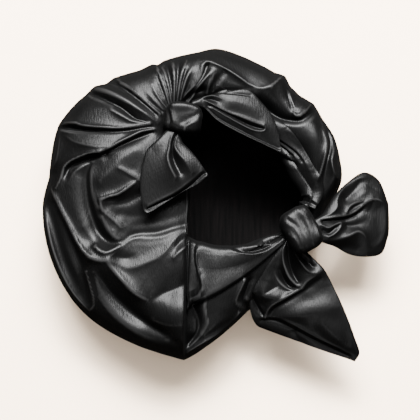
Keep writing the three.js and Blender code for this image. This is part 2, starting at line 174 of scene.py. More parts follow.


# %% [markdown]
# ## Cloth from a grid
# Cloth starts as a flat grid, as it does on a cutting table, and each vertex is then moved to its place.
# The grid also notes how far each vertex stands above its neighbours, in an attribute named
# painted_ridge_highlight. The satin's material reads it to paint a pale highlight along sharp crests that
# face up.

# %% Cloth from a grid
NORMAL_PASSES = 3
RIDGE_HEIGHT = 0.25  # a vertex this far above its neighbours lies on a sharp fold
MERGE_DISTANCE = 1e-6


def unit(vectors):
    """Vectors on a grid, each of length 1."""
    return vectors / (np.linalg.norm(vectors, axis=2, keepdims=True) + TINY)


def normals_of(points, wraps=False):
    """Unit normals of a grid of points, evened out along its rows."""
    wide = np.concatenate([points[:, -2:-1], points, points[:, 1:2]], axis=1) if wraps else points
    normals = np.cross(np.gradient(wide, axis=1), np.gradient(wide, axis=0))
    for _ in range(NORMAL_PASSES):
        normals = unit(normals)
        if wraps:
            normals[:, 0], normals[:, -1] = normals[:, -3], normals[:, 2]
        normals[:, 1:-1] = normals[:, 1:-1] * 2 + normals[:, :-2] + normals[:, 2:]
    normals = unit(normals)
    return normals[:, 1:-1] if wraps else normals


def evened(points, wraps):
    """A grid of points, each of them mixed with its neighbours along both directions."""
    for axis in (0, 1):
        joined = wraps and axis == 1  # the last column of such a grid is its first one again
        padding = [(1, 1) if i == axis else (0, 0) for i in range(3)]
        wide = np.pad(points[:, :-1] if joined else points, padding, mode="wrap" if joined else "edge")
        wide = np.moveaxis(wide, axis, 0)
        points = np.moveaxis((wide[:-2] + 2 * wide[1:-1] + wide[2:]) / 4, 0, axis)
        if joined:
            points = np.concatenate([points, points[:, :1]], axis=1)
    return points


def cloth(name, points, wraps=False):
    """A grid with one vertex for each point, moved there. The attribute painted_ridge_highlight, the mask of
    a painted highlight, is 1 on a sharp fold, 0 on plain cloth and -1 in a sharp valley, and fades out where
    the cloth stands upright."""
    rows, columns = points.shape[:2]
    # mask of a painted highlight: crests that stand above their neighbours, counted most where they face up
    painted_ridge_highlight = (points - evened(points, wraps))[..., 2] / RIDGE_HEIGHT
    painted_ridge_highlight = painted_ridge_highlight.clip(-1, 1) * normals_of(points, wraps)[..., 2] ** 2
    bpy.ops.object.select_all(action="DESELECT")
    bpy.ops.mesh.primitive_grid_add(x_subdivisions=columns - 1, y_subdivisions=rows - 1, size=1)
    piece = bpy.context.object
    piece.name = f"{name}_cloth"
    piece.data.name = piece.name
    piece.data.vertices.foreach_set("co", (points * MM).ravel())
    piece.data.attributes.new("painted_ridge_highlight", "FLOAT", "POINT").data.foreach_set("value", painted_ridge_highlight.ravel())
    piece.data.update()
    bpy.ops.object.mode_set(mode="EDIT")
    bpy.ops.mesh.select_all(action="SELECT")
    bpy.ops.mesh.remove_doubles(threshold=MERGE_DISTANCE)
    bpy.ops.object.mode_set(mode="OBJECT")
    bpy.ops.object.shade_smooth()
    return piece


# %% [markdown]
# ## Walls and tubes
# A grid has no thickness. The crown, the lining and the sashes are single sheets, and a Solidify modifier
# gives them a wall. A second sheet could be drawn inside each of them instead, but it would not keep the
# same distance everywhere. The knots and tails are rolled into tubes, and only their ends are filled.

# %% Walls and tubes
def give_wall(piece, thickness):
    """Gives a sheet its thickness, on the side that its faces turn away from."""
    wall = piece.modifiers.new("wall", "SOLIDIFY")
    wall.thickness = thickness * MM
    wall.offset = -1
    bpy.ops.object.modifier_apply(modifier=wall.name)


def close_tube(piece):
    """Fills the open ends of a tube and turns its faces outwards."""
    bpy.ops.object.mode_set(mode="EDIT")
    bpy.ops.mesh.select_all(action="SELECT")
    bpy.ops.mesh.fill_holes(sides=0)
    bpy.ops.mesh.select_all(action="SELECT")
    bpy.ops.mesh.normals_make_consistent(inside=False)
    bpy.ops.object.mode_set(mode="OBJECT")


# %% [markdown]
# ## The sections of the pouch
# The crown is a pouch that follows a table of sections from the rim of the opening out to its widest line,
# clockwise from above the left knot. A sphere could be sculpted into this form, but a table keeps the sizes
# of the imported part: its source has the same rows, but for the two at the pleat, which lie closer here.

# %% The sections of the pouch
SOURCE_SHIFT = np.array([1.1, -5.63, 0.0])  # from the source's own origin to the middle of the hat
SECTIONS = table("strips", "rimX", "rimY", "rimZ", "crest", "topZ", "edgeX", "edgeY", "edgeZ")(
    [
        [3, -32, 86, 82, 0.34, 90, -61, 148, 44],  # left knot
        [3, -24, 93, 82, 0.34, 90, -32, 157, 44],
        [3, -12, 95, 80, 0.34, 89, 2, 162, 44],
        [4, 13, 82, 76, 0.32, 86, 36, 152, 44],
        [4, 45, 66, 74, 0.32, 84, 70, 136, 43],
        [4, 66, 49, 73, 0.32, 82, 100, 106, 42],
        [4, 80, 26, 72, 0.34, 80, 123, 64, 40],
        [4, 92, 4, 70, 0.42, 76, 128, 28, 38],
        [3, 87, -8, 66, 0.45, 71, 114, -1, 32],  # right knot
        [3, 70, -26, 63, 0.45, 67, 101, -32, 30],  # right knot
        [4, 52, -35, 66, 0.38, 69, 72, -60, 32],
        [4, 28, -45, 70, 0.30, 71, 35, -98, 34],
        [4, 1, -45, 72, 0.28, 73, 4, -127, 36],
        [4, -25, -36, 72, 0.26, 73, -29, -151, 38],  # low side of the pleat
        [6, -28, -33, 82, 0.28, 87, -32, -152, 42],  # high side of the pleat
        [6, -27, -16, 82, 0.30, 88, -77, -139, 42],
        [6, -25, 2, 82, 0.30, 88, -127, -109, 42],
        [6, -27, 22, 82, 0.30, 88, -160, -62, 42],
        [6, -35, 42, 82, 0.30, 88, -173, -8, 42],
        [5, -41, 55, 83, 0.30, 89, -167, 43, 42],
        [4, -41, 64, 83, 0.30, 89, -157, 81, 42],  # left knot
        [3, -38, 72, 83, 0.32, 90, -132, 116, 43],  # left knot
        [3, -35, 79, 83, 0.33, 90, -97, 134, 44],  # left knot
    ]
)
AROUND = len(SECTIONS["rimX"])
RIM = np.stack([SECTIONS[c] for c in ("rimX", "rimY", "rimZ")], axis=1) + SOURCE_SHIFT
EDGE = np.stack([SECTIONS[c] for c in ("edgeX", "edgeY", "edgeZ")], axis=1) + SOURCE_SHIFT
CREST = RIM + SECTIONS["crest"][:, None] * (EDGE - RIM)
CREST[:, 2] = SECTIONS["topZ"]
CENTRE = np.array([-24.0, 4.0, 0.0]) + SOURCE_SHIFT
print("sections:", AROUND, "and the highest crest:", CREST[:, 2].max(), "mm")

# %% [markdown]
# ## The hat's outline
# Seen from above, the hat is not a smooth oval, because folds that reach its side make small corners and
# notches there. They could be pulled out one by one with a soft brush. Here a second table moves the widest
# line outwards or inwards, by the angle at which the photograph shows each corner.

# %% The hat's outline
MIDDLE_PX = np.array([190, 200])  # the pixel that the angles turn round
OUTLINE = table("angle", "pull")(  # degrees clockwise from the right in the photograph, and mm outwards
    [
        [0, 0],
        [60, 3],
        [88, 2.5],
        [96, 0.5],
        [104, 0],
        [140, 1],
        [152, 0],
        [180, -0.8],
        [188, -3],
        [196, -1],
        [202, 0],
        [209, 1.5],  # corner at the slit
        [214, 0],
        [224, -2.8],
        [229, -1],  # corner
        [233, -4],
        [237, -1],  # corner
        [248, -4.2],
        [254, -2.5],
        [256, -5.5],  # notch
        [259, -3],
        [274, -3.8],
        [280, -1.5],  # corner at the top
        [292, -2],
        [304, -5],
        [308, -2],  # corner
        [312, -7],
        [317, -7],
        [323, -1],  # corner
        [329, -2.2],
        [337, 0],
        [346, -1.2],
        [354, 0],
    ]
)
print("outline: pulled from", OUTLINE["pull"].min(), "to", OUTLINE["pull"].max(), "mm")

# %% [markdown]
# ## The plain pouch
# Each section rolls over the rim, rises to a crest, falls to the widest line and turns under to a flat
# disc, on which the hat rests. Every turn is a quarter of an ellipse, a little squarer at the bulge, as in
# a soft bag that is filled with air. A spun profile would be quicker to model, but it would be round, and
# no two sections of this hat are alike.

# %% The plain pouch
ROLL_WIDTH, ROLL_DEPTH, UNDER_INSET = 6, 8, 44
FULLNESS = 0.78  # 1 makes the bulge a quarter of an ellipse, and less makes it squarer
QUARTER = math.pi / 2
LEVEL, UPWARD = np.array([1.0, 1.0, 0.0]), np.array([0.0, 0.0, 1.0])


def plan_direction(vectors):
    """Directions of vectors as seen from straight above."""
    flat = vectors * LEVEL
    return flat / np.linalg.norm(flat, axis=1, keepdims=True)


def pouch(where, down):
    """Rows of points on the plain pouch. down is 0 to 1 over the rolled rim, then to 2 at the crest, to 3
    at the widest line, to 4 at the flat disc and to 5 at its middle."""
    rim, crest, edge = (spline(p, where, closed=True) for p in (RIM, CREST, EDGE))
    out = plan_direction(crest - rim)
    inward = plan_direction(CENTRE - edge)
    turned = np.degrees(np.arctan2(*(to_photo(edge) - MIDDLE_PX).T[::-1]))
    edge = edge - inward * np.interp(turned, OUTLINE["angle"], OUTLINE["pull"], period=360)[:, None]
    roll_top = rim + out * ROLL_WIDTH
    d = (down[:, None] if down.ndim == 1 else down)[..., None]
    part = d - np.clip(np.floor(d), 0, 4)
    s, c = np.sin(part * QUARTER), np.cos(part * QUARTER).clip(0)
    rolled = rim + out * ROLL_WIDTH * (1 - c) - UPWARD * ROLL_DEPTH * (1 - s)
    rising = roll_top + (crest - roll_top) * (LEVEL * part + UPWARD * s)
    falling = edge + (crest - edge) * (LEVEL * (1 - s**FULLNESS) + UPWARD * c**FULLNESS)
    under = edge * LEVEL + inward * UNDER_INSET * (1 - c) + edge * UPWARD * (1 - s)
    bottom = (edge + inward * UNDER_INSET) * LEVEL
    disc = bottom + (CENTRE - bottom) * part
    steps = [d < 1, d < 2, d < 3, d < 4]
    return np.select(steps, [rolled, rising, falling, under], disc)


widest_line = pouch(np.arange(AROUND), np.array([3.0]))[0]
print("plain pouch:", np.ptp(widest_line, axis=0)[:2].round(1), "mm across and deep")


# %% [markdown]
# ## The crown's grid
# The crown carries the finest folds, so it gets the finest grid, just under what one piece may have. The
# bulge falls steeply at its end, and rows spaced by angle would lie far apart there. So they are spaced by
# the length of cloth between them.

# %% The crown's grid
FINE = 5  # columns of the crown for each strip of the source
ROLL_ROWS, RISE_ROWS, BULGE_ROWS, UNDER_ROWS = 5, 16, 66, 8
DISC_ROWS = [4.5, 5]
BULGE_SHAPE = 2  # the bulge is about twice as wide as it is high
MEASURE_STEPS = 400

strips = SECTIONS["strips"].astype(int) * FINE
crown_columns = np.concatenate([i + np.arange(n) / n for i, n in enumerate(strips)] + [[AROUND]])
bulge_angle = np.linspace(0, 1, MEASURE_STEPS)
bulge_out = BULGE_SHAPE * np.sin(bulge_angle * QUARTER) ** FULLNESS
bulge_drop = np.cos(bulge_angle * QUARTER).clip(0) ** FULLNESS
bulge_length = np.append(0, np.cumsum(np.hypot(np.diff(bulge_out), np.diff(bulge_drop))))
even = np.linspace(0, 1, BULGE_ROWS, endpoint=False)
crown_rows = np.concatenate(
    [
        np.linspace(0, 1, ROLL_ROWS, endpoint=False),
        np.linspace(1, 2, RISE_ROWS, endpoint=False),
        2 + np.interp(even, bulge_length / bulge_length[-1], bulge_angle),
        np.linspace(3, 4, UNDER_ROWS),
        DISC_ROWS,
    ]
)
print("crown grid:", len(crown_rows), "rows of", len(crown_columns))

# %% [markdown]
# ## Folds of the left side
# The left side is one large flap of satin that is draped over itself in soft waves and ends in a straight
# pleat at the front. A sculpting brush could push the waves up, but it leaves nothing to set right later.
# Here each row is one fold: how round it is, then its stations. A ridge mostly has a valley beside it,
# because a crease shows only where a lit slope meets a dark one.

# %% Folds of the left side
CROWN_REACH = 18  # mm over which a fold of the crown dies away
LOBE_FOLDS = folds(
    # slit beside the left knot, with its two lips
    [0.7, (59, 126, 4), (66, 123, 6), (75, 123, 7.5), (83, 125.5, 7.5), (105, 127.5, 7.5), (120, 128, 6),
     (150, 124, 3)],
    [0.8, (62, 128, -2), (72, 128.5, -6), (85, 130, -6), (100, 131, -4), (118, 132, -2),
     (152, 126.5, -2)],
    [0.7, (61, 131, 4), (68, 132.5, 4), (80, 134.5, 2.5), (95, 135.5, 2.5), (110, 135.5, 3),
     (122, 134, 3)],
    [4.0, (76, 138.5, 4), (95, 141, 4.5), (112, 140.5, 5)],
    [2.0, (66, 136, 5), (74, 141, 6), (85, 144.5, 7.5), (97, 147, 8.5), (108, 147, 8)],
    [1.0, (61, 131, 4), (60, 140, 7), (58.5, 150, 8), (56.5, 160, 8), (53, 168, 7)],
    [1.5, (68, 158, 3), (77, 152.5, 3), (90, 150, 5.5), (103, 150, 7)],
    # shoulder that hangs over the puff, and the shadow under it
    [0.7, (56, 188, 5), (61, 178, 7), (64.5, 167, 8), (70, 161.5, 8), (79, 157, 9), (90, 153, 9.5),
     (100, 152, 9.5)],
    [0.7, (100, 152, 9.5), (110, 148, 9), (120, 142, 8), (130, 137, 7), (141, 131.5, 6), (153, 129.5, 4)],
    [0.9, (66, 176, -2), (69, 169, -5), (74, 165, -7), (84, 161, -8), (94, 158.5, -8), (106, 153.5, -7)],
    [0.9, (106, 153.5, -7), (118, 147, -5), (130, 141.5, -4), (142, 136.5, -4), (152, 132, -4)],
    [1.0, (68, 184, 2), (74, 173, 2), (81, 167, 2), (88, 163.5, 0)],
    # puff under the hanging tail
    [2.5, (93, 163, 2), (91.5, 172, 5), (91.5, 184, 6), (93.5, 196, 6), (98, 206, 5)],
    [6.0, (101, 180, 7), (110, 172, 7.5), (120, 161, 7.5), (134, 151, 6)],
    [2.0, (127, 165, 5), (134, 168, 4)],
    [0.6, (120, 168, 7), (127, 172, 6.5), (133, 175.5, 6), (139, 178.5, 5)],
    [0.6, (126, 175.5, 4.5), (133, 179.5, 4), (138, 181.5, 3)],
    [0.7, (102.5, 199, 7), (109, 196.5, 7.5), (117, 194.5, 7.5), (124, 190.5, 7), (131, 185.5, 6.5),
     (138, 180, 6)],
    [2.5, (112, 204.5, -1), (120, 204, -3.5), (130, 201, -4), (141, 195, -4)],
    [3.0, (122, 214, -4.5), (134, 217, -5), (150, 214, -5), (168, 210, -5), (187, 203, -5)],
    [4.0, (137, 225, -6), (150, 223.5, -6.5), (168, 219.5, -6.5), (187, 213, -6)],
    # curl beside the trough, and the plane to its right
    [1.2, (101, 200, 6.5), (101.5, 207, 5), (107, 214, 3.5), (114, 220, 2), (121, 227, 0)],
    [4.0, (112, 206, 0.5), (120, 212.5, -1.5), (129, 219.5, -3)],
    [2.0, (103, 217, 4), (108, 228, 4), (116, 237, 3), (122, 238, 0)],
    [2.5, (126, 239, -4.5), (132, 235.5, -7.5), (141, 233.5, -8.5), (155, 233, -8.5), (170, 229, -8.5),
     (184, 225.5, -8)],
    # trough
    [3.0, (90, 164, -8), (87, 174, -10), (87, 188, -12), (88.5, 202, -13), (92, 217, -14),
     (97, 230, -14), (104, 239, -13), (112, 243, -9), (120, 242, -4)],
    [8.0, (67, 182, 1), (72, 202, 1.5), (78, 218, 1)],
    [3.0, (83, 226, 0), (87, 236, -2), (91.5, 243, -3)],
    [0.8, (96, 247, 8), (100, 250.5, 8.5), (106, 252.5, 8.5), (113, 250, 7), (119, 246.5, 5)],
    # long drape of the left side, with the hollow outside it
    [0.8, (50, 183, 3), (53.5, 193, 6), (60, 208, 8), (68, 224, 9), (76, 240, 9.5), (83, 250.5, 10),
     (90, 257, 10)],
    [1.5, (90, 257, 10), (99, 260, 10), (108, 260, 10)],
    [3.0, (55, 204, -3), (63, 220, -6), (70, 236, -8), (76, 251, -9), (81, 265, -9), (86.5, 291, -8),
     (88.5, 302, -5)],
    [4.0, (51.5, 208, 0), (54.5, 222, -2), (59, 241, -3), (66, 262, -4), (74.5, 279, -4), (83, 293, -4)],
    [1.0, (44.5, 203, 8), (47, 222, 11), (51.5, 243, 12), (58.5, 265, 11), (67.5, 284, 10),
     (78, 299.5, 7), (89, 311, 4)],
    [1.2, (86, 272, 3), (90.5, 288, 3), (93.5, 299, 3), (93, 307, 3), (89, 311, 3)],
    [3.0, (95, 272, 2), (98, 290, 1), (99, 308, 1)],
    # folds tied off at the pleat
    [0.8, (108, 258, 6.5), (114, 253, 4), (120, 248.5, 1.5), (126, 243, -0.5), (132, 239, -1.5),
     (141, 237.5, -2.5)],
    [1.5, (144, 238, -2.5), (152, 238, -2.5), (162, 237, -2.5), (172, 233, -2.5), (182, 230, -2.5),
     (185, 231.5, -2.5)],
    [2.0, (112, 257, 3), (118, 257, -1.5), (126, 258, -3), (134, 256, -2)],
    [4.0, (136, 248, -2.5), (147, 249, -2.5), (160, 245, -2.5)],
    [1.5, (109, 261, 6), (117, 265.5, 3), (126, 268.5, 2), (136, 267, 1.5), (147, 262.5, 1),
     (158, 258, 0.5)],
    [1.5, (161, 256, 0.5), (165, 252, 0.5), (171, 244, -0.5), (178, 236, -1.5), (184, 231.5, -2)],
    [1.0, (108, 261, 7), (113, 268.5, 8), (120, 277, 8.5), (128, 286, 8), (136, 293.5, 6.5),
     (147, 299.5, 2.5)],
    [1.0, (152, 299.5, 1), (157, 297, -1), (163, 293.5, -3), (170, 290.5, -5), (183, 285, -6)],
    [8.0, (155, 321, 5), (169, 325, 7), (184, 325, 8)],
    [5.0, (170, 338, 8), (184, 340, 8)],
    [0.8, (174, 257, 1), (180, 251, 1), (186, 247, 1)],
    [0.8, (174, 250, -1.5), (178, 244.5, -4), (184, 238.5, -4.5)],
    [3.0, (96, 270, 1), (102, 281, -6), (109, 292, -9), (120, 303, -10), (133, 314, -10), (148, 324, -9),
     (163, 333, -7), (175, 341, -3)],
    [3.0, (99, 298, 2), (105, 306, 3), (113, 315, 4), (123, 324, 5), (135, 332.5, 6), (148, 340.5, 6),
     (160, 347, 5), (172, 352, 3)],
)
print("folds of the left side:", len(LOBE_FOLDS))

# %% [markdown]
# ## Gathers at the left knot
# The left knot pulls the cloth of the back together, in narrow ridges and valleys that spread from it like
# rays. A wave pattern could displace them all at once, but they would come out alike. Real gathers differ
# in length and depth, so each has its own row.

# %% Gathers at the left knot
GATHER_FOLDS = folds(
    # from the left knot out towards the back, ridges and valleys in turn
    [6.0, (74, 110, 2), (92, 110, 2), (108, 113, 3)],
    [1.0, (112, 110, 5), (119, 114, 6), (126, 118, 6), (132, 121, 5.5), (141, 122, 5), (150, 123.5, 4)],
    [1.0, (88, 92, -3), (95, 95, -6), (103, 98.5, -7), (112, 103, -7), (121, 107.5, -7), (136, 119, -5),
     (146, 122, -3)],
    [1.0, (88, 96, 0), (92, 101, -1), (100, 103, -1)],
    [1.5, (96, 88, 3), (106, 91, 4), (117, 96, 4.5), (128, 102, 5), (137, 108, 5.5), (146, 114, 5),
     (157, 122.5, 3)],
    [0.9, (107, 79, -2), (114, 82, -5), (122, 87, -6), (131, 93.5, -6), (139, 99.5, -6), (147, 106, -5),
     (156, 114, -3)],
    [0.7, (120, 82, 2), (132, 90, 3), (142, 98.5, 4), (150, 105.5, 4), (160, 114, 3)],
    [0.6, (146, 98, 1), (153, 104.5, -1), (162, 111, -2)],
    [0.6, (148, 93, 2), (155, 101, 2.5), (163, 109, 2)],
    [0.6, (150, 90, 1), (156, 98, 0), (164, 107, -1)],
    [0.6, (152, 84, 2), (156, 93, 3), (161, 101, 3), (166, 107, 2)],
    [0.6, (154.5, 84, 1), (158, 92, 0), (163, 101, -1), (167, 106, -1)],
    [0.6, (155.5, 79, 2), (159, 88, 2), (164, 99, 1)],
    [1.0, (157, 78, -3), (161, 88, -6), (165, 98, -6), (168, 105, -4)],
    [0.7, (157, 67, 3), (160.5, 76, 4), (164.5, 88, 4), (167.5, 98, 4), (169.5, 105, 3)],
    [0.7, (160, 68, -1), (164, 79, -3), (167.5, 91, -3), (170, 103, -3)],
    [0.7, (162, 68, 2), (166.5, 79, 4), (169.5, 90, 4), (171.5, 103, 3)],
    [0.8, (166, 61, -3), (169, 75, -5), (171, 88, -5), (172.5, 102, -4)],
    [0.7, (173, 64, 2), (174.5, 78, 4), (174.5, 90, 4), (174, 103, 3)],
    [0.8, (179, 62, -2), (177.5, 76, -5), (176.5, 88, -5), (175.5, 102, -4)],
    [0.7, (187, 61, 2), (183, 70, 4), (180, 82, 4), (177.5, 101, 3)],
    [0.7, (186, 70, -1), (182.5, 82, -4), (179, 100, -4)],
    [0.7, (193, 66, 2), (187, 77, 4), (183, 89, 4), (180.5, 100, 3)],
    [0.7, (192, 76, 0), (187, 88, -3), (182, 99, -3)],
    [0.7, (198, 82, 2), (191, 89, 3.5), (185, 95, 3.5), (182, 99, 3)],
    [1.2, (203, 90, -6), (196, 92, -8), (190, 97, -8), (185, 101, -5)],
    [0.7, (213, 70, 4), (206, 77.5, 6), (199.5, 85, 6), (194, 94, 5), (188.5, 102, 4)],
    [0.8, (207, 66, -4), (203.5, 75, -3), (199.5, 82, -2), (197, 84, -2)],
    [0.7, (212, 62, 5), (207, 61.5, 5), (203, 65, 5), (202, 70, 4), (200, 77, 3), (196, 83, 2)],
    [1.0, (214, 73, 4), (209, 83, 4), (207, 92, 2)],
    [1.0, (224, 73, -1), (217, 81, -3), (211, 90, -3)],
)
print("gathers:", len(GATHER_FOLDS))

# %% [markdown]
# ## Folds of the back and the right side
# Behind the opening the cloth is less tight. One fold hangs over a deep hollow at the back right, and two
# long creases run down the right side to the other knot. A bevelled curve could lie on the cloth as a
# crease, but its ends would show. A row of stations can fade out, because its lift can go down to nothing.

# %% Folds of the back and the right side
BACK_FOLDS = folds(
    [0.8, (198, 60, 3), (206, 61, 5), (213, 63, 6), (222, 67, 6), (231, 72, 6), (240, 78, 6),
     (249, 84.5, 5), (256, 87.5, 5)],
    [0.6, (215, 49.5, 2), (208, 54, 2), (201, 59, 2)],
    [3.0, (222, 78, 1), (230, 81, 0), (240, 85, 1)],
    # edge that hangs over the hollow of the back right
    [0.7, (212, 94.5, -3), (221, 90.5, -4), (232, 90.5, -3), (246, 89, 1), (256, 88.3, 5),
     (264, 88.3, 7), (271, 86, 8)],
    [0.7, (271, 86, 8), (277, 81, 8), (283, 75.5, 7)],
    [2.0, (260, 103, -8), (269, 110, -14), (280, 117.5, -15), (290, 120, -12), (300, 120, -10),
     (309, 115, -8), (315, 109, -5)],
    [1.5, (283.5, 79, 5), (284, 88, 4), (285, 97, 2), (288, 104, 1), (292, 110, 0)],
    [0.6, (285.5, 86, 2), (288.5, 96, -2), (291.5, 105, -4), (293.5, 111.5, -3)],
    [0.7, (286, 85, 4), (290, 97, 5), (293, 106, 6), (294.5, 114, 6.5), (296.5, 116.5, 6.5),
     (300, 115.5, 7)],
    [0.7, (300, 115.5, 7), (305, 111, 7), (311.5, 104, 6)],
    [1.0, (291, 100, 2.5), (294, 101, 2), (298, 101.5, 2.5)],
    [3.0, (293, 94, 4.5), (303, 98, 4.5)],
    [2.0, (298, 109, 5), (303, 106.5, 5)],
    [3.0, (279, 122, -4), (287, 125, -1), (296, 126, 1), (304, 124, 2), (311, 120, 3)],
    [1.0, (281, 131, -4), (286, 129, -4)],
    [2.0, (287, 133, -6), (295, 142, -8), (303, 152, -9), (311, 167, -8)],
    # right side
    [4.0, (315, 126, 4), (317, 136, 3), (318, 146, 1), (316, 160, -3), (313, 172, -7)],
    [0.7, (316, 109, 4), (320.5, 121, 5), (324.5, 133, 6), (327, 143, 6), (325.5, 154, 6), (322, 168, 1),
     (318, 181, -4)],
    [1.0, (319, 114, -3), (325, 125, -6), (329.5, 138, -7), (330, 148, -7), (327.5, 160, -7),
     (325, 173, -7), (323, 190, -6)],
    [0.8, (322, 119, 2), (329, 131, 3), (333.5, 141, 3.5), (334, 150, 4), (332, 160, 4), (333.5, 169, 4),
     (337, 177, 3)],
)
print("folds of the back and the right side:", len(BACK_FOLDS))

# %% [markdown]
# ## The low front
# To the right of the pleat the cloth lies lower, and fans out from under the front sash. It could be a sheet
# of its own, but the real pleat is one cloth that is laid over itself. So it stays part of the pouch, and
# only its folds are kept apart, so that those of the high side do not pull it up.

# %% The low front
FAN_START, PLEAT = 9, 13.5  # the low front of the pouch lies between these sections
FAN_FOLDS = folds(
    # the low front beside the pleat
    [1.5, (190, 303, -8), (196, 313, -12), (199, 323, -12), (197, 333, -10), (188, 344, -5)],
    [0.8, (206, 298, 4), (205, 308, 5), (206.5, 316, 5), (208, 323, 5), (205.5, 331, 5), (199, 338, 4.5),
     (184.5, 353, 3)],
    [4.0, (212, 300, 3), (232, 297, 3)],
    [4.0, (212, 315, 4), (230, 312, 5)],
    [3.0, (204, 334, 9), (218, 324, 8), (232, 316, 8)],
    [0.7, (245, 280, 5), (241, 288.5, 5), (237, 297, 5), (236, 302, 5), (239, 307, 4.5), (242, 311, 3)],
    [1.2, (249, 281, -6), (246, 290, -8), (243, 299, -8), (246, 306, -6), (250, 309, -4)],
    [0.7, (186, 353, 6), (200, 344, 12), (215, 335.5, 15), (229, 325.5, 15), (240, 312, 12)],
)
print("folds of the low front:", len(FAN_FOLDS))

# %% [markdown]
# ## The crown
# Now the pouch gets its folds. They lift the cloth towards the camera, so that each is seen where it was
# drawn. They fade out on the rolled rim and below the widest line, where the cloth is pulled smooth. A
# displacement modifier could do the same with an image, but this way needs none.

# %% The crown
SATIN_WALL = 1.2
TOWARDS_EYE = -FORWARD
FOLDED_FROM = 1.2  # the row of the pouch from which the folds have their full lift
SIDE_FROM, SIDE_LOSS = 2.7, 0.4  # from this row to the widest line they lose this share of it


def crown_points(where, down, wraps=True):
    """The pouch with its folds, and the plain pouch's normals, along which a sash is laid on it."""
    base = pouch(where, down)
    seen = to_photo(pouch(where, np.minimum(down, 3)))
    back = relief(seen, LOBE_FOLDS + GATHER_FOLDS + BACK_FOLDS, CROWN_REACH)
    front = relief(seen, FAN_FOLDS, CROWN_REACH)
    low = (where >= FAN_START) & (where < PLEAT)
    over_rim = np.clip(down / FOLDED_FROM, 0, 1)
    side = 1 - SIDE_LOSS * np.clip((down - SIDE_FROM) / (3 - SIDE_FROM), 0, 1) ** 2
    under = np.cos(np.clip(down - 3, 0, 1) * QUARTER) ** 2
    fade = over_rim * side * under
    lift = np.where(low, front, back) * (fade[:, None] if down.ndim == 1 else fade)
    return base + TOWARDS_EYE * lift[..., None], normals_of(base, wraps)


crown = cloth("crown", crown_points(crown_columns, crown_rows)[0], wraps=True)
give_wall(crown, SATIN_WALL)
print("crown:", len(crown.data.polygons), "faces")

# %% [markdown]
# ## The lining
# A second pouch of velvet hangs inside the first one, from behind its rolled rim. It is seen only through
# the opening, as a dark bowl. It could be a scaled copy of the crown, but it hangs lower and straighter, so
# it has its own curve between the same rim and the same widest line, and no folds.

# %% The lining
VELVET_WALL, LINING_TUCK, LINING_DROP, LINING_INSET = 1.4, 2.6, 10.5, 15
LINING_SAG = 1.8  # between a round wall at 1 and a straight one at 2
LINING_FLOOR = 2.2
LINING_COLUMNS, WALL_ROWS, TURN_ROWS = 185, 40, 12
LINING_DISC_ROWS = [2, 2.5, 3]


def lining_points(where, down):
    """Rows of points on the lining. down is 0 to 1 from its top to its widest line, then to 2 at the flat
    disc and to 3 at its middle."""
    rim, crest, edge = (spline(p, where, closed=True) for p in (RIM, CREST, EDGE))
    top = rim + plan_direction(crest - rim) * LINING_TUCK - [0, 0, LINING_DROP]
    inward = plan_direction(CENTRE - edge)
    widest = edge + inward * LINING_INSET
    d = np.asarray(down, float)[:, None, None]
    s, c = np.sin(d % 1 * QUARTER), np.cos(d % 1 * QUARTER)
    wall = widest + (top - widest) * UPWARD * c**LINING_SAG
    wall = wall + (top - widest) * LEVEL * (1 - s**LINING_SAG)
    bottom = widest * LEVEL + inward * UNDER_INSET
    under = widest * LEVEL + inward * UNDER_INSET * (1 - c) + UPWARD * (widest * (1 - s) + LINING_FLOOR * s)
    disc = bottom + (CENTRE - bottom) * LEVEL * (d - 2) + [0, 0, LINING_FLOOR]
    return np.where(d < 1, wall, np.where(d < 2, under, disc))


lining_rows = np.concatenate(
    [
        np.linspace(0, 1, WALL_ROWS, endpoint=False),
        np.linspace(1, 2, TURN_ROWS, endpoint=False),
        LINING_DISC_ROWS,
    ]
)
lining = cloth("lining", lining_points(np.linspace(0, AROUND, LINING_COLUMNS), lining_rows), wraps=True)
give_wall(lining, VELVET_WALL)
print("lining:", len(lining.data.polygons), "faces")

# %% [markdown]
# ## Folds of the sashes
# Each sash is a folded strip that lies on the rolled rim between the two knots, pulled so tight that its
# creases run along it. The back sash is bunched up in front of the right knot. The front sash spreads out
# into a smooth plane, with one hollow beside the pleat. An even set of creases could be made by a loop, but
# pulled cloth bunches unevenly, so these are drawn one by one too.

# %% Folds of the sashes
SASH_REACH = 6  # mm over which a crease of a sash dies away
SASH_BACK_FOLDS = folds(
    [0.6, (279, 135, 2), (289, 142, 2.5), (299, 151, 2.5), (306, 161, 2.5), (312, 172, 2),
     (317, 184, 1.5)],
    [0.5, (280, 137.5, -0.5), (289, 144, -1), (298, 152.5, -1), (304, 161, -0.5)],
    [0.6, (280, 140, 1.5), (289, 146.5, 2), (297, 154.5, 2), (303, 163, 1.5)],
    [0.8, (281, 145, -2), (288, 149.5, -3), (295, 154, -2)],
    [0.6, (281, 150, 1.5), (289, 155, 2), (297, 158.5, 2), (302, 158, 1)],
    [0.6, (282, 153, -1), (290, 159, -1.5), (298, 163.5, -1)],
    [0.6, (281, 155.5, 1.5), (289, 162.5, 2), (297, 169, 2), (304, 168, 1)],
    [1.0, (284, 161, 2), (292, 171, 3), (297.5, 180.5, 3), (303, 190, 3), (307, 196, 2)],
    [3.0, (304, 172, 1), (309, 184, 1)],
    # bunched up in front of the right knot
    [0.6, (303, 197.5, 3.5), (308, 193.5, 4.5), (313, 196, 5), (317, 203, 6.5)],
    [0.6, (303, 200.5, 2), (308, 201, 2.5), (313, 202.5, 4)],
    [0.6, (304, 204, 6), (309, 206, 7), (314, 208, 7.5)],
)
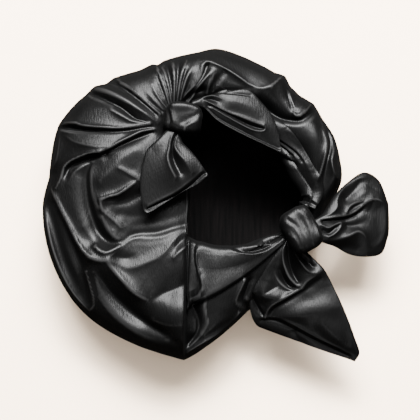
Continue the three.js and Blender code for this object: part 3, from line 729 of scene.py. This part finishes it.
SASH_FRONT_FOLDS = folds(
    # hollow beside the pleat, and the plane to its right
    [0.8, (197, 251, 2), (196, 260, 3), (198, 268.5, 3), (201, 277, 3), (202.5, 286, 3), (201.5, 292, 3),
     (191, 299, 1.5)],
    [1.5, (190, 243, -3), (191, 258, -7), (194, 273, -8), (196, 286, -7), (191, 294, -4)],
    # creases that run into the right knot
    [0.6, (228, 252, 1.5), (240, 254.5, 2), (252, 256, 2.5), (263, 253.5, 2.5), (274, 247.5, 2),
     (284, 240, 1.5)],
    [0.5, (234, 251.5, 0), (249, 253, -1.5), (262, 250.5, -1.5), (272, 245.8, -1.5), (283, 238, -1)],
    [0.5, (235, 249.5, 1.5), (247, 250, 2), (257, 248, 2), (264, 247.5, 1.5), (272, 246, 1.5),
     (281, 240.5, 1)],
    [0.6, (265, 244.5, -2), (271, 243, -2.5), (279, 240, -2)],
    [0.5, (252, 245, 1.5), (260, 243, 2), (268, 240, 2), (282, 237, 1.5)],
    [0.5, (258, 242, 0), (268, 237.8, -1.2), (279, 234.5, -1)],
    [0.6, (254, 241.5, 1.5), (266, 236, 2), (277, 231, 2)],
    [0.7, (183, 302, 1.5), (207, 293, 1.5), (235, 279, 1.5), (258, 266, 1.5), (284, 241, 1.5)],
)
print("folds of the sashes:", len(SASH_BACK_FOLDS), "and", len(SASH_FRONT_FOLDS))

# %% [markdown]
# ## The sashes
# A sash could be a strip of its own that a Shrinkwrap modifier lays on the crown. Taking it from the
# crown's own surface instead, a little above it, keeps it clear of the crown along its whole length.

# %% The sashes
SASH_COLUMNS, SASH_ROWS = 260, 72
SASH_TOP = 0.1  # the row of the pouch at which a sash starts, just inside the rim
SASH_HEM = 0.7  # how far its edges lie above the crown
SASH_CLEARANCE = 0.3  # the least gap between its wall and the crown
PUFF_ROUND = 0.7


def sash(name, first, last, reach, full, creases):
    """A strip on the rim from one section to another. reach is the row of the pouch that it goes down to,
    at its first end and at its last one."""
    where = np.linspace(first, last, SASH_COLUMNS)
    along = np.linspace(0, 1, SASH_COLUMNS)
    share = np.linspace(0, 1, SASH_ROWS)[:, None]
    down = SASH_TOP + share * (np.linspace(*reach, SASH_COLUMNS) - SASH_TOP)
    base, normals = crown_points(where, down, wraps=False)
    puff = (np.sin(math.pi * share) * np.sin(math.pi * along)).clip(0) ** PUFF_ROUND
    lift = SASH_HEM + SATIN_WALL + full * puff + relief(to_photo(base), creases, SASH_REACH)
    piece = cloth(name, base + normals * np.maximum(lift, SATIN_WALL + SASH_CLEARANCE)[..., None])
    give_wall(piece, SATIN_WALL)
    return piece


sash_back = sash("sash_back", first=2.3, last=8.1, reach=(2, 2), full=4, creases=SASH_BACK_FOLDS)
sash_front = sash("sash_front", first=9.1, last=13.3, reach=(2, 2.26), full=2, creases=SASH_FRONT_FOLDS)
print("sashes:", [len(p.data.polygons) for p in (sash_back, sash_front)], "faces")

# %% [markdown]
# ## The knots
# A knot is the sash wound tightly round itself. It could be wound from a strip, but only its top shows, and
# so tight a strip would cut through itself. So it is a squarish barrel with its own axis, and creases that
# follow the windings on the side that is seen.

# %% The creases of the knots
KNOT_REACH = 4  # mm over which a crease of a knot dies away
KNOT_LEFT_FOLDS = folds(
    [0.8, (167, 108, 0), (169, 117, -2), (168, 126, -2)],
    [1.5, (172, 111, 1.5), (173, 117, 2), (174.5, 122.5, 2), (170, 126.5, 1)],
    [1.5, (174, 106, 4.5), (183, 105, 5.5), (193, 106, 5), (199, 110, 3)],
    [2.5, (181, 114, 0.5), (192, 113, 0.5)],
    [2.0, (197, 114, -0.5), (190, 118.5, -1), (183, 123, -1)],
    [0.8, (202, 115.5, 1.5), (196, 120, 2), (190, 123.5, 2), (184.5, 127.5, 2), (183.5, 131.5, 1.5),
     (178, 133, 1)],
)
KNOT_RIGHT_FOLDS = folds(
    [0.5, (283, 230, 1.3), (293, 236, 2.1), (301, 247, 3.8)],
    [0.5, (285, 227, 0.5), (295, 233, 0.9), (303, 248, 3.2)],
    [0.5, (286, 224, 0.6), (297, 231, 1.4), (304, 249, 3.8)],
    [0.5, (288, 220, -0.3), (299, 228, 0.2), (306, 249, 3.2)],
    [0.5, (289, 216, 1.0), (301, 225, 0.9), (308, 249, 3.8)],
    [0.5, (292, 213, 0.9), (303, 222, -0.5), (310, 247, 3.2)],
    [0.5, (296, 209, 1.8), (306, 219, 0.5), (312.5, 244, 3.8)],
    [0.5, (300, 207.5, 1.2), (310, 217, -0.3), (315, 240, 3.2)],
    [0.5, (303, 206, 1.8), (313, 215, 0.8), (317.5, 236, 3.8)],
)
print("creases of the knots:", len(KNOT_LEFT_FOLDS), "and", len(KNOT_RIGHT_FOLDS))

# %% The knots
# square is 1 for a round barrel, and less for one that is flatter on top and squarer
KNOTS = table("x", "y", "z", "turn", "halfLength", "halfWidth", "halfHeight", "square")(
    [
        [-32, 76, 95, -7, 19, 13.5, 13, 0.5],  # left
        [83.7, -29, 72, 26, 16.5, 21.5, 17, 0.5],  # right
    ]
)
KNOT_RINGS, KNOT_SIDES = 101, 161
TOP_SHARE = 2.5  # the creases have their full depth on the top, and fade out down the sides
END_FADE = 0.5  # they fade out more slowly towards the two ends


def squared(wave, square):
    """A sine or cosine with flatter tops, for a barrel with squarer corners."""
    return np.sign(wave) * np.abs(wave) ** square


def knot(name, i, creases):
    """A barrel round its own axis, creased where the camera sees it."""
    size = {column: values[i] for column, values in KNOTS.items()}
    turn = math.radians(size["turn"])
    axis = np.array([math.cos(turn), math.sin(turn), 0])
    side = np.array([-math.sin(turn), math.cos(turn), 0])
    around = np.linspace(0, 2 * math.pi, KNOT_SIDES)[None, :, None]
    along = np.linspace(0, math.pi, KNOT_RINGS)[:, None, None]
    across, height = (squared(wave, size["square"]) for wave in (np.cos(around), np.sin(around)))
    outward = side * across * size["halfWidth"] + UPWARD * height * size["halfHeight"]
    middle = np.array([size["x"], size["y"], size["z"]]) + SOURCE_SHIFT
    length = squared(np.cos(along), size["square"])
    ring = np.sin(along).clip(0) ** size["square"]
    points = middle - axis * length * size["halfLength"] + ring * outward
    normals = (points - middle) / np.linalg.norm(points - middle, axis=2, keepdims=True)
    seen = np.clip(np.sin(around) * TOP_SHARE, 0, 1) * np.sin(along).clip(0) ** END_FADE
    lift = relief(to_photo(points), creases, KNOT_REACH)[..., None] * seen
    piece = cloth(name, points + normals * lift, wraps=True)
    close_tube(piece)
    return piece


knot_left = knot("knot_left", 0, KNOT_LEFT_FOLDS)
knot_right = knot("knot_right", 1, KNOT_RIGHT_FOLDS)
print("knots:", [len(p.data.polygons) for p in (knot_left, knot_right)], "faces")

# %% [markdown]
# ## The tails
# A tail is a flat sewn tube that spreads from its knot to a straight hem. It could be modelled as a box and
# sculpted. Here its two long edges are placed from the photograph at a height, and the tube between them is
# filled a little and creased. Each row of stations is one cross-section, from the knot to the hem.

# %% How a tail is made
TAIL_REACH = 10  # mm over which a crease of a tail dies away
TAIL_ROWS, TAIL_SIDES = 150, 181
TAIL_STATIONS = table("leftX", "leftY", "rightX", "rightY", "height", "full")  # pixels, then mm
tails = {}


def tail(name, stations, creases):
    """A flat tube between its two long edges, closed at the knot and at the hem."""
    step = np.linspace(0, len(stations["full"]) - 1, TAIL_ROWS)
    edges = [np.stack([stations[f"{edge}X"], stations[f"{edge}Y"]], axis=1) for edge in ("left", "right")]
    left, right = (spline(from_photo(edge, stations["height"]), step) for edge in edges)
    full = spline(stations["full"][:, None], step)
    around = np.linspace(0, 2 * math.pi, TAIL_SIDES)
    share = ((1 - np.cos(around)) / 2)[None, :, None]
    middle = left[:, None] + (right - left)[:, None] * share
    normals = np.cross(right - left, np.gradient(left + right, axis=0))
    normals = normals / np.linalg.norm(normals, axis=1, keepdims=True)
    normals = normals * np.sign(normals[:, 2:])
    lift = relief(to_photo(middle), creases, TAIL_REACH) + full * np.sin(around)
    tails[name] = cloth(name, middle + normals[:, None] * lift[..., None], wraps=True)
    close_tube(tails[name])
    print(f"{name}:", len(tails[name].data.polygons), "faces")


# %% [markdown]
# ### The left knot's tail that hangs down
# It lies over the left side, and two deep pleats open out of the knot. Its hem is stitched, so a narrow
# groove runs along it. The groove could be cut with a bevel, but three creases side by side keep it soft.

# %% The tail that hangs down
tail(
    "tail_left_down",
    TAIL_STATIONS(
        [
            [170, 126, 182, 128, 96, 4],
            [158, 140, 182, 141, 98, 4],
            [147, 150, 191, 151, 99.5, 3.5],
            [141.5, 168, 199, 161, 100, 3],
            [140, 187, 205, 170, 99.5, 2.5],
            [144, 211, 208, 175, 98, 1.5],
            [146, 214, 208, 177, 97, 0.8],
        ]
    ),
    folds(
        [0.7, (174, 134, 2), (171, 142, 3), (169.5, 150, 4), (168, 158, 4), (170, 167, 4), (175, 177, 3)],
        [0.8, (177, 136, -2), (173, 145, -5), (172.5, 154, -6), (175, 163, -5), (180, 173, -2)],
        [0.7, (178.5, 135, 1), (175.5, 141, 2), (175, 148, 3), (179, 155, 3), (186, 163, 3),
         (192, 173, 2)],
        [0.7, (165, 134, 2), (158, 141, 2.5), (150, 147, 1)],
        [0.5, (147, 212.5, 2), (162, 206, 2), (177, 198.8, 2), (191, 189.5, 2), (206.5, 176, 2)],
        [0.5, (148, 209, -2), (161, 202.8, -2.5), (175.5, 195.8, -2.5), (189.5, 186.5, -2.5),
         (204, 173.5, -2)],
        [0.5, (148, 206, 1), (160, 200, 1.2), (174, 193, 1.2), (187, 184, 1.2), (201.5, 171.5, 1)],
    ),
)

# %% [markdown]
# ### The left knot's tail that points to the right
# It lies along the back sash and casts its shadow into the opening. A long pocket between two lips shows
# where the tube falls in on itself. A hole could be cut for it, but the cloth goes on inside, so a deep
# valley is drawn between two ridges.

# %% The tail that points to the right
tail(
    "tail_left_right",
    TAIL_STATIONS(
        [
            [192, 101, 193, 108, 97, 4],
            [206, 96, 203, 109, 97, 3.5],
            [226, 92, 217, 121, 95, 3],
            [248, 90, 236, 132, 92, 2.5],
            [262, 103, 258, 142, 89, 2],
            [272, 116, 272, 149, 87, 1.5],
            [278, 130, 281, 153, 86, 1],
        ]
    ),
    folds(
        # pocket between two lips
        [0.7, (203, 100, 1), (210, 104, 2), (220, 109.5, 3), (230, 114, 3), (240, 117.5, 3),
         (250, 121.5, 3), (263, 126.5, 3)],
        [0.7, (263, 126.5, 3), (265, 129, 3), (262, 131.5, 3), (254, 131, 3), (240, 124.5, 3),
         (222, 114.5, 2.5), (212, 108.5, 2)],
        [0.8, (208, 106, -2), (222, 112, -4), (235, 118, -5), (248, 124.5, -5), (258, 128, -4),
         (262, 129, -2)],
        # pocket at the root
        [0.7, (201, 99.5, 1), (207, 96.5, 2), (214, 96.5, 2), (220, 99, 1)],
        [0.8, (204, 100, -2), (211, 100, -3.5), (217, 102, -1.5)],
        [0.6, (222, 95, 0.5), (238, 96.5, 1), (254, 99, 0.5)],
        [0.6, (226, 93.5, -0.5), (238, 94.5, -1), (250, 96, -0.5)],
        [5.0, (234, 102, 2), (250, 108, 2), (262, 118, 1.5)],
        [0.5, (204, 108, 1.5), (216, 120, 1.5), (237, 131.8, 1.5), (260, 143, 1.5), (280, 152, 1.5)],
        [0.5, (207, 108, -1), (218, 118, -1.2), (238, 129, -1.2), (261, 140.5, -1.2), (278, 148, -1)],
    ),
)

# %% [markdown]
# ### The right knot's upper tail
# It stands out from the hat like half a bow. Its upper layer is turned back, and the edge of that layer
# runs right round the far end. The layer could be a second sheet, but so close to the first one it would
# cut through it. A sharp ridge along its edge looks the same.

# %% The upper tail
tail(
    "tail_right_up",
    TAIL_STATIONS(
        [
            [312, 221, 312, 239, 73, 4],
            [322, 214, 324, 243, 70, 5],
            [333, 196, 338, 247, 65, 6],
            [345, 184, 350, 254, 60, 6],
            [364, 172.5, 367, 257, 54, 5],
            [378, 180, 381, 253.5, 50, 4],
            [387, 203, 387.5, 236, 48, 2],
        ]
    ),
    folds(
        [0.8, (320, 218, 2), (328, 215, 3), (333.5, 209, 4), (334, 202, 4), (337, 194, 4), (343, 187, 3),
         (352, 181, 2)],
        [0.8, (352, 181, 2), (362, 178, 2), (371, 178, 1)],
        [2.0, (344, 200, -2), (352, 192, -2), (358, 184, -1)],
        [2.5, (357, 199, 2), (363, 194, 3), (368, 187, 1)],
        # edge of the upper layer, that turns round the far end
        [0.7, (321, 220, 3), (331, 218.5, 4), (341, 217, 4), (350, 214, 5), (357, 209, 5), (364, 203, 5),
         (370, 200.5, 5)],
        [0.7, (370, 200.5, 5), (377, 201.5, 5), (382, 206, 4), (384, 219, 4), (383, 232, 4),
         (379, 243, 3), (368, 251, 2)],
        [0.7, (343, 214, 4), (346.5, 208, 4), (353, 204, 4), (361, 202, 3)],
        [0.7, (346, 213, 1), (352, 208, 0), (360, 204.5, 1)],
        [0.8, (322, 222, -3), (334, 221, -5), (346, 219, -5), (356, 214, -4), (362, 209, -2)],
        [0.6, (360, 211.5, -1), (365, 212.5, 0), (369, 208.5, 1), (370.5, 203, 2)],
        # crumple at the knot
        [0.6, (320, 226, 1), (326, 229, 2), (333, 225.5, 2), (338, 224, 2), (338, 228, 2), (332, 235, 2),
         (327, 238, 2)],
        [0.6, (322, 231, -2), (327, 234, -2), (333, 229, -2)],
        [1.5, (345, 226, -3), (352, 226, -2), (362, 222, 0)],
        [1.0, (325, 241, 1), (336, 240.5, 2), (346, 237, 4), (355, 233, 4), (361, 236, 4), (367, 246, 3),
         (376, 250, 2)],
        [1.5, (328, 246, -3), (342, 248, -4), (356, 250, -3)],
        [4.0, (370, 222, 2), (374, 236, 2)],
    ),
)

# %% [markdown]
# ### The right knot's lower tail
# The widest tail hangs over the front of the crown. Pleats run out of the knot, a flap covers its left
# corner, and below that a plain lower layer catches the light down to its hem. The flap could be a piece of
# its own, but its folds run on into the tail, so it is a raised part of the same tube.

# %% The lower tail
tail(
    "tail_right_down",
    TAIL_STATIONS(
        [
            [287, 239, 302, 247, 68, 5],
            [277, 250, 312, 257, 66.5, 5],
            [265, 267, 324, 269, 63, 5],
            [254, 287, 334, 288, 58.5, 4],
            [249.5, 303, 345, 312, 55, 3],
            [252, 317, 354, 335, 51.5, 2],
            [256, 324.5, 359.5, 352, 48, 1.5],
            [259, 327, 355, 361, 46, 1],
        ]
    ),
    folds(
        # creases that run out of the knot
        [0.7, (286, 241, 2), (283, 250, 3), (283, 260, 4), (285.5, 269, 4), (290, 278, 4), (298, 286, 4)],
        [0.8, (288, 244, -2), (288.5, 257, -6), (291.5, 270, -7), (297, 281, -4)],
        [0.7, (289.5, 243, 2), (295, 253, 3), (301, 262, 4), (306, 268.5, 4), (311, 272, 4),
         (316, 273, 4), (322, 270, 3)],
        [0.8, (302, 256, -3), (308, 262, -4), (312, 266, -2)],
        [1.0, (280, 270, -2), (284, 280, -6), (290, 287, -6), (297, 287.5, -1)],
        [0.8, (274, 274, 2), (279, 281.5, 3), (286, 287.5, 4), (292, 289.5, 4), (301, 287, 4)],
        [2.0, (280, 250, 3), (269, 263, 4), (259, 279, 4.5), (253, 292, 7)],
        [3.0, (267, 281, 4.5), (263, 295, 8), (276, 298, 8)],
        # upper layer, that ends in a crumple at the left corner
        [0.7, (265, 318, 3), (267.5, 310, 6), (273, 304, 8), (282, 299, 8), (292, 293, 6.5),
         (301, 287.5, 5)],
        [0.7, (301, 287.5, 5), (306, 281, 4.5), (315, 274.5, 4)],
        [1.0, (270, 318, 0), (274, 309, 0), (284, 302.5, 0), (300, 293, -0.5), (320, 279, 0)],
        [0.8, (252, 297, -2), (257, 306, -4), (263, 315, -3)],
        [0.6, (262, 306, 2), (264.5, 311, 2), (267, 316, 2)],
        [0.7, (251, 296, 1), (252, 306, 1), (256, 317, 1)],
        # lower layer down to its hem
        [3.0, (276, 316, 4), (300, 315, 8), (320, 312, 8), (338, 307, 7)],
        [2.0, (309, 316, 7), (311, 324, 6), (312, 331, 5)],
        [4.0, (322, 322, 9), (336, 336, 9), (346, 345, 6)],
        [0.7, (262, 317.5, 2), (276, 316.5, 3), (291, 322.5, 5), (306, 330, 6), (321, 338, 6),
         (336, 345, 6), (352, 354, 3)],
        [0.8, (262, 320, -3), (275, 320, -2), (290, 326.5, 0), (305, 334, 1), (320, 341.5, 1),
         (348, 355, 0)],
        [0.7, (294, 331, 0), (296.5, 336, 1), (301, 341, 1)],
        [0.6, (331, 284, 3), (338, 300, 6), (345.5, 318, 7), (352, 335, 7), (357, 350, 5)],
    ),
)

# %% [markdown]
# ## Helpers for materials
# A material in Blender is a small net of nodes. One function adds a node and feeds it, and two more put
# together what all the materials here need: a noise with grains of a real size, and a colour between two
# tones. Colours are written as on a screen, and turned into the linear ones that Blender counts with.

# %% Helpers for materials
def linear(hex_colour):
    """An sRGB hex colour as Blender's linear one."""
    parts = [int(hex_colour[i : i + 2], 16) / 255 for i in (1, 3, 5)]
    return [p / 12.92 if p <= 0.04045 else ((p + 0.055) / 1.055) ** 2.4 for p in parts] + [1.0]


def new_material(name, settings):
    """A material and its shader, with these sockets set."""
    material = bpy.data.materials.new(name)
    material.use_nodes = True
    shader = material.node_tree.nodes["Principled BSDF"]
    for socket, value in settings.items():
        shader.inputs[socket].default_value = value
    return material, shader


def feed(material, node, links):
    """Feeds a node's input sockets from what links names for them."""
    for name, source in links.items():
        material.node_tree.links.new(source, node.inputs[name])


def add_node(material, kind, settings, links):
    """Adds a node with its settings, and feeds it."""
    node = material.node_tree.nodes.new(kind)
    for name, value in settings.items():
        if name in node.inputs:
            node.inputs[name].default_value = value
        else:
            setattr(node, name, value)
    feed(material, node, links)
    return node


def grains(material, size, detail, turn=0):
    """A noise with grains of this size in mm, in the piece's own coordinates."""
    place = add_node(material, "ShaderNodeTexCoord", {}, {})
    scale = {"Rotation": (0, 0, turn), "Scale": tuple(1 / (size * MM))}
    lay = add_node(material, "ShaderNodeMapping", scale, {"Vector": place.outputs["Object"]})
    noise = add_node(
        material, "ShaderNodeTexNoise", {"Scale": 1.0, "Detail": detail}, {"Vector": lay.outputs["Vector"]}
    )
    return noise.outputs["Fac"]


def two_tone(material, value, low, high, first, second):
    """A colour that goes from the first one to the second as a value goes from low to high."""
    share = add_node(material, "ShaderNodeMapRange", {"From Min": low, "From Max": high}, {"Value": value})
    colours = {"Color1": linear(first), "Color2": linear(second)}
    mix = add_node(material, "ShaderNodeMixRGB", colours, {"Fac": share.outputs["Result"]})
    return mix.outputs["Color"]


# %% [markdown]
# ## Satin
# Satin's threads float over one another and lie in one direction. So black satin has long glossy highlights
# that are never sharp, and stays deep black between them. A shader with stretched highlights could show
# this, but it needs a direction on every face. A soft gloss over a fine grain along the threads is enough.

# %% Satin
THREAD = np.array([0.9, 5.0, 5.0])  # real threads are finer than a pixel, so these are wider to show at all
THREAD_TURN = math.radians(25)
satin, satin_shader = new_material(
    "black satin",
    {
        "Specular IOR Level": 0.045,  # the dyed threads themselves reflect little, so shaded cloth is black
        "Coat Weight": 0.07,  # the smooth tops of the threads add a soft bright band on each fold
        "Coat Roughness": 0.25,
    },
)
# the gloss spreads where the cloth turns away, so that its edges stay dark and do not glare
facing = add_node(satin, "ShaderNodeLayerWeight", {"Blend": 0.5}, {})
dull = add_node(
    satin,
    "ShaderNodeMapRange",
    {"interpolation_type": "SMOOTHSTEP", "From Min": 0.3, "From Max": 0.8, "To Min": 0.46, "To Max": 1.0},
    {"Value": facing.outputs["Facing"]},
)
# painted highlight: the base colour turns paler along sharp crests that face up, which draws a thin grey
# line on them
painted_ridge_highlight = add_node(satin, "ShaderNodeAttribute", {"attribute_name": "painted_ridge_highlight"}, {})
painted_highlight = painted_ridge_highlight.outputs["Fac"]
colour_with_painted_highlight = two_tone(satin, painted_highlight, low=0.15, high=1, first="#030303", second="#1e1e1e")
# the grain breaks each highlight into faint streaks along the threads
weave = add_node(
    satin,
    "ShaderNodeBump",
    {"Strength": 0.6, "Distance": 0.4 * MM},
    {"Height": grains(satin, THREAD, detail=2, turn=THREAD_TURN)},
)
satin_links = {"Base Color": colour_with_painted_highlight, "Roughness": dull.outputs["Result"]}
feed(satin, satin_shader, satin_links | {n: weave.outputs["Normal"] for n in ("Normal", "Coat Normal")})
print("satin:", len(satin.node_tree.nodes), "nodes")

# %% [markdown]
# ## Velvet
# Velvet's pile stands upright and swallows the light, so the inside of the hat is the darkest thing in the
# photograph. Hairs could make the pile, but at this size none would show. A rough shader with almost no
# gloss is enough, with faint streaks where the nap was brushed.

# %% Velvet
NAP = np.array([2.5, 40.0, 40.0])  # width, length and depth of a brushed streak
velvet, velvet_shader = new_material(
    "black velvet",
    {
        "Roughness": 0.95,  # no highlight shows anywhere in the hollow
        "Specular IOR Level": 0.02,  # and what light falls in is not thrown back
        "Sheen Weight": 0.02,  # the tips of the pile give a trace of grey at a low angle
    },
)
# the brushed streaks are a shade apart, and show only where some light reaches the wall of the hollow
streaks = grains(velvet, NAP, detail=3)
nap_colour = two_tone(velvet, streaks, low=0.35, high=0.75, first="#020202", second="#060505")
feed(velvet, velvet_shader, {"Base Color": nap_colour})
print("velvet:", len(velvet.node_tree.nodes), "nodes")

# %% [markdown]
# ## Materials on the pieces
# The lining is velvet, and everything else is cut from the same satin. Each piece could have a copy of its
# own, but with one material for all of them a change shows everywhere at once.

# %% Materials on the pieces
pieces = {"crown": crown, "lining": lining, "sash_back": sash_back, "sash_front": sash_front}
pieces |= {"knot_left": knot_left, "knot_right": knot_right, **tails}
for piece in pieces.values():
    piece.data.materials.clear()
    piece.data.materials.append(velvet if piece is lining else satin)
print("pieces:", {name: piece.data.materials[0].name for name, piece in pieces.items()})

# %% [markdown]
# ## Each piece in place of the imported one
# Every piece takes the place of the imported one with its name: it hangs from the root, and the imported
# one is hidden. The satin pieces and the lining are sheets, cut flat before they were sewn and gathered,
# and the two knots are full of cloth.

# %% Each piece in place of the imported one
for node, piece in pieces.items():
    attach(piece, "root")
    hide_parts(node)
print("soft pieces:", len(pieces))

# %% [markdown]
# ## The floor
# The hat lies on a large sheet of pale paper. A plain white plane would do, but it would look like a
# screen, so the paper has a faint tooth. In a studio, black cards beside the hat would keep its sides dark.
# Here the floor is left out of the satin's reflections, which does the same.

# %% The floor
FLOOR_SIZE = 8  # m
FIBRE = np.full(3, 3.0)  # a clump of paper fibres, drawn ten times as wide as it is so that it shows
paper, paper_shader = new_material("pale paper", {"Roughness": 0.9})  # matte, so the shadows stay soft
# the fibres stand up a little and differ by a shade, so the floor is warm and not quite even
fibres = grains(paper, FIBRE, detail=2)
tooth = add_node(paper, "ShaderNodeBump", {"Strength": 0.1, "Distance": 0.2 * MM}, {"Height": fibres})
paper_colour = two_tone(paper, fibres, low=0, high=1, first="#f4dbbf", second="#f6ddc3")
feed(paper, paper_shader, {"Base Color": paper_colour, "Normal": tooth.outputs["Normal"]})

bpy.ops.object.select_all(action="DESELECT")
bpy.ops.mesh.primitive_plane_add(size=FLOOR_SIZE)
floor = bpy.context.object
floor.name = "floor"
floor.data.materials.append(paper)
floor.visible_glossy = False
print("floor:", FLOOR_SIZE, "m wide")

# %% [markdown]
# ## Light
# One large soft light stands behind the hat, so the folds shine on the side that is turned away from us.
# Its middle is brighter than its edges, as in a real soft box, which gives the highlights a core. A dim
# card in front and a dim room keep the cloth's shadows from going quite black. A wide ceiling softens the
# shadows on the floor. It is kept out of the satin's reflections, where it would turn the black grey. A
# picture of a studio round the scene could light it too, but lamps can be moved one at a time.

# %% Light
ROOM_STRENGTH = 0.1
world = bpy.data.worlds.new("dim room")
world.use_nodes = True
world.node_tree.nodes["Background"].inputs["Color"].default_value = linear("#fffaf5")
world.node_tree.nodes["Background"].inputs["Strength"].default_value = ROOM_STRENGTH
bpy.context.scene.world = world

LIGHT_NAMES = ("key light", "middle of the key", "front card", "ceiling")
LIGHTS = table("x", "y", "z", "wide", "deep", "watts", "shines")(  # metres, watts, 1 if satin reflects it
    [
        [0.05, 1.4, 1.95, 2.0, 1.2, 510, 1],
        [0.05, 1.4, 1.95, 0.7, 0.4, 180, 1],
        [0, -1.3, 2.0, 1.2, 0.8, 15, 1],
        [0, 0.4, 2.8, 4.0, 4.0, 85, 0],
    ]
)
for name, x, y, z, wide, deep, watts, shines in zip(LIGHT_NAMES, *LIGHTS.values()):
    turn = Vector((x, y, z)).to_track_quat("Z", "Y").to_euler()
    bpy.ops.object.light_add(type="AREA", location=(x, y, z), rotation=turn)
    light = bpy.context.object
    light.name = name
    light.data.shape = "RECTANGLE"
    light.data.size = wide
    light.data.size_y = deep
    light.data.energy = watts
    light.visible_glossy = bool(shines)
    print(f"{name}:", watts, "W")
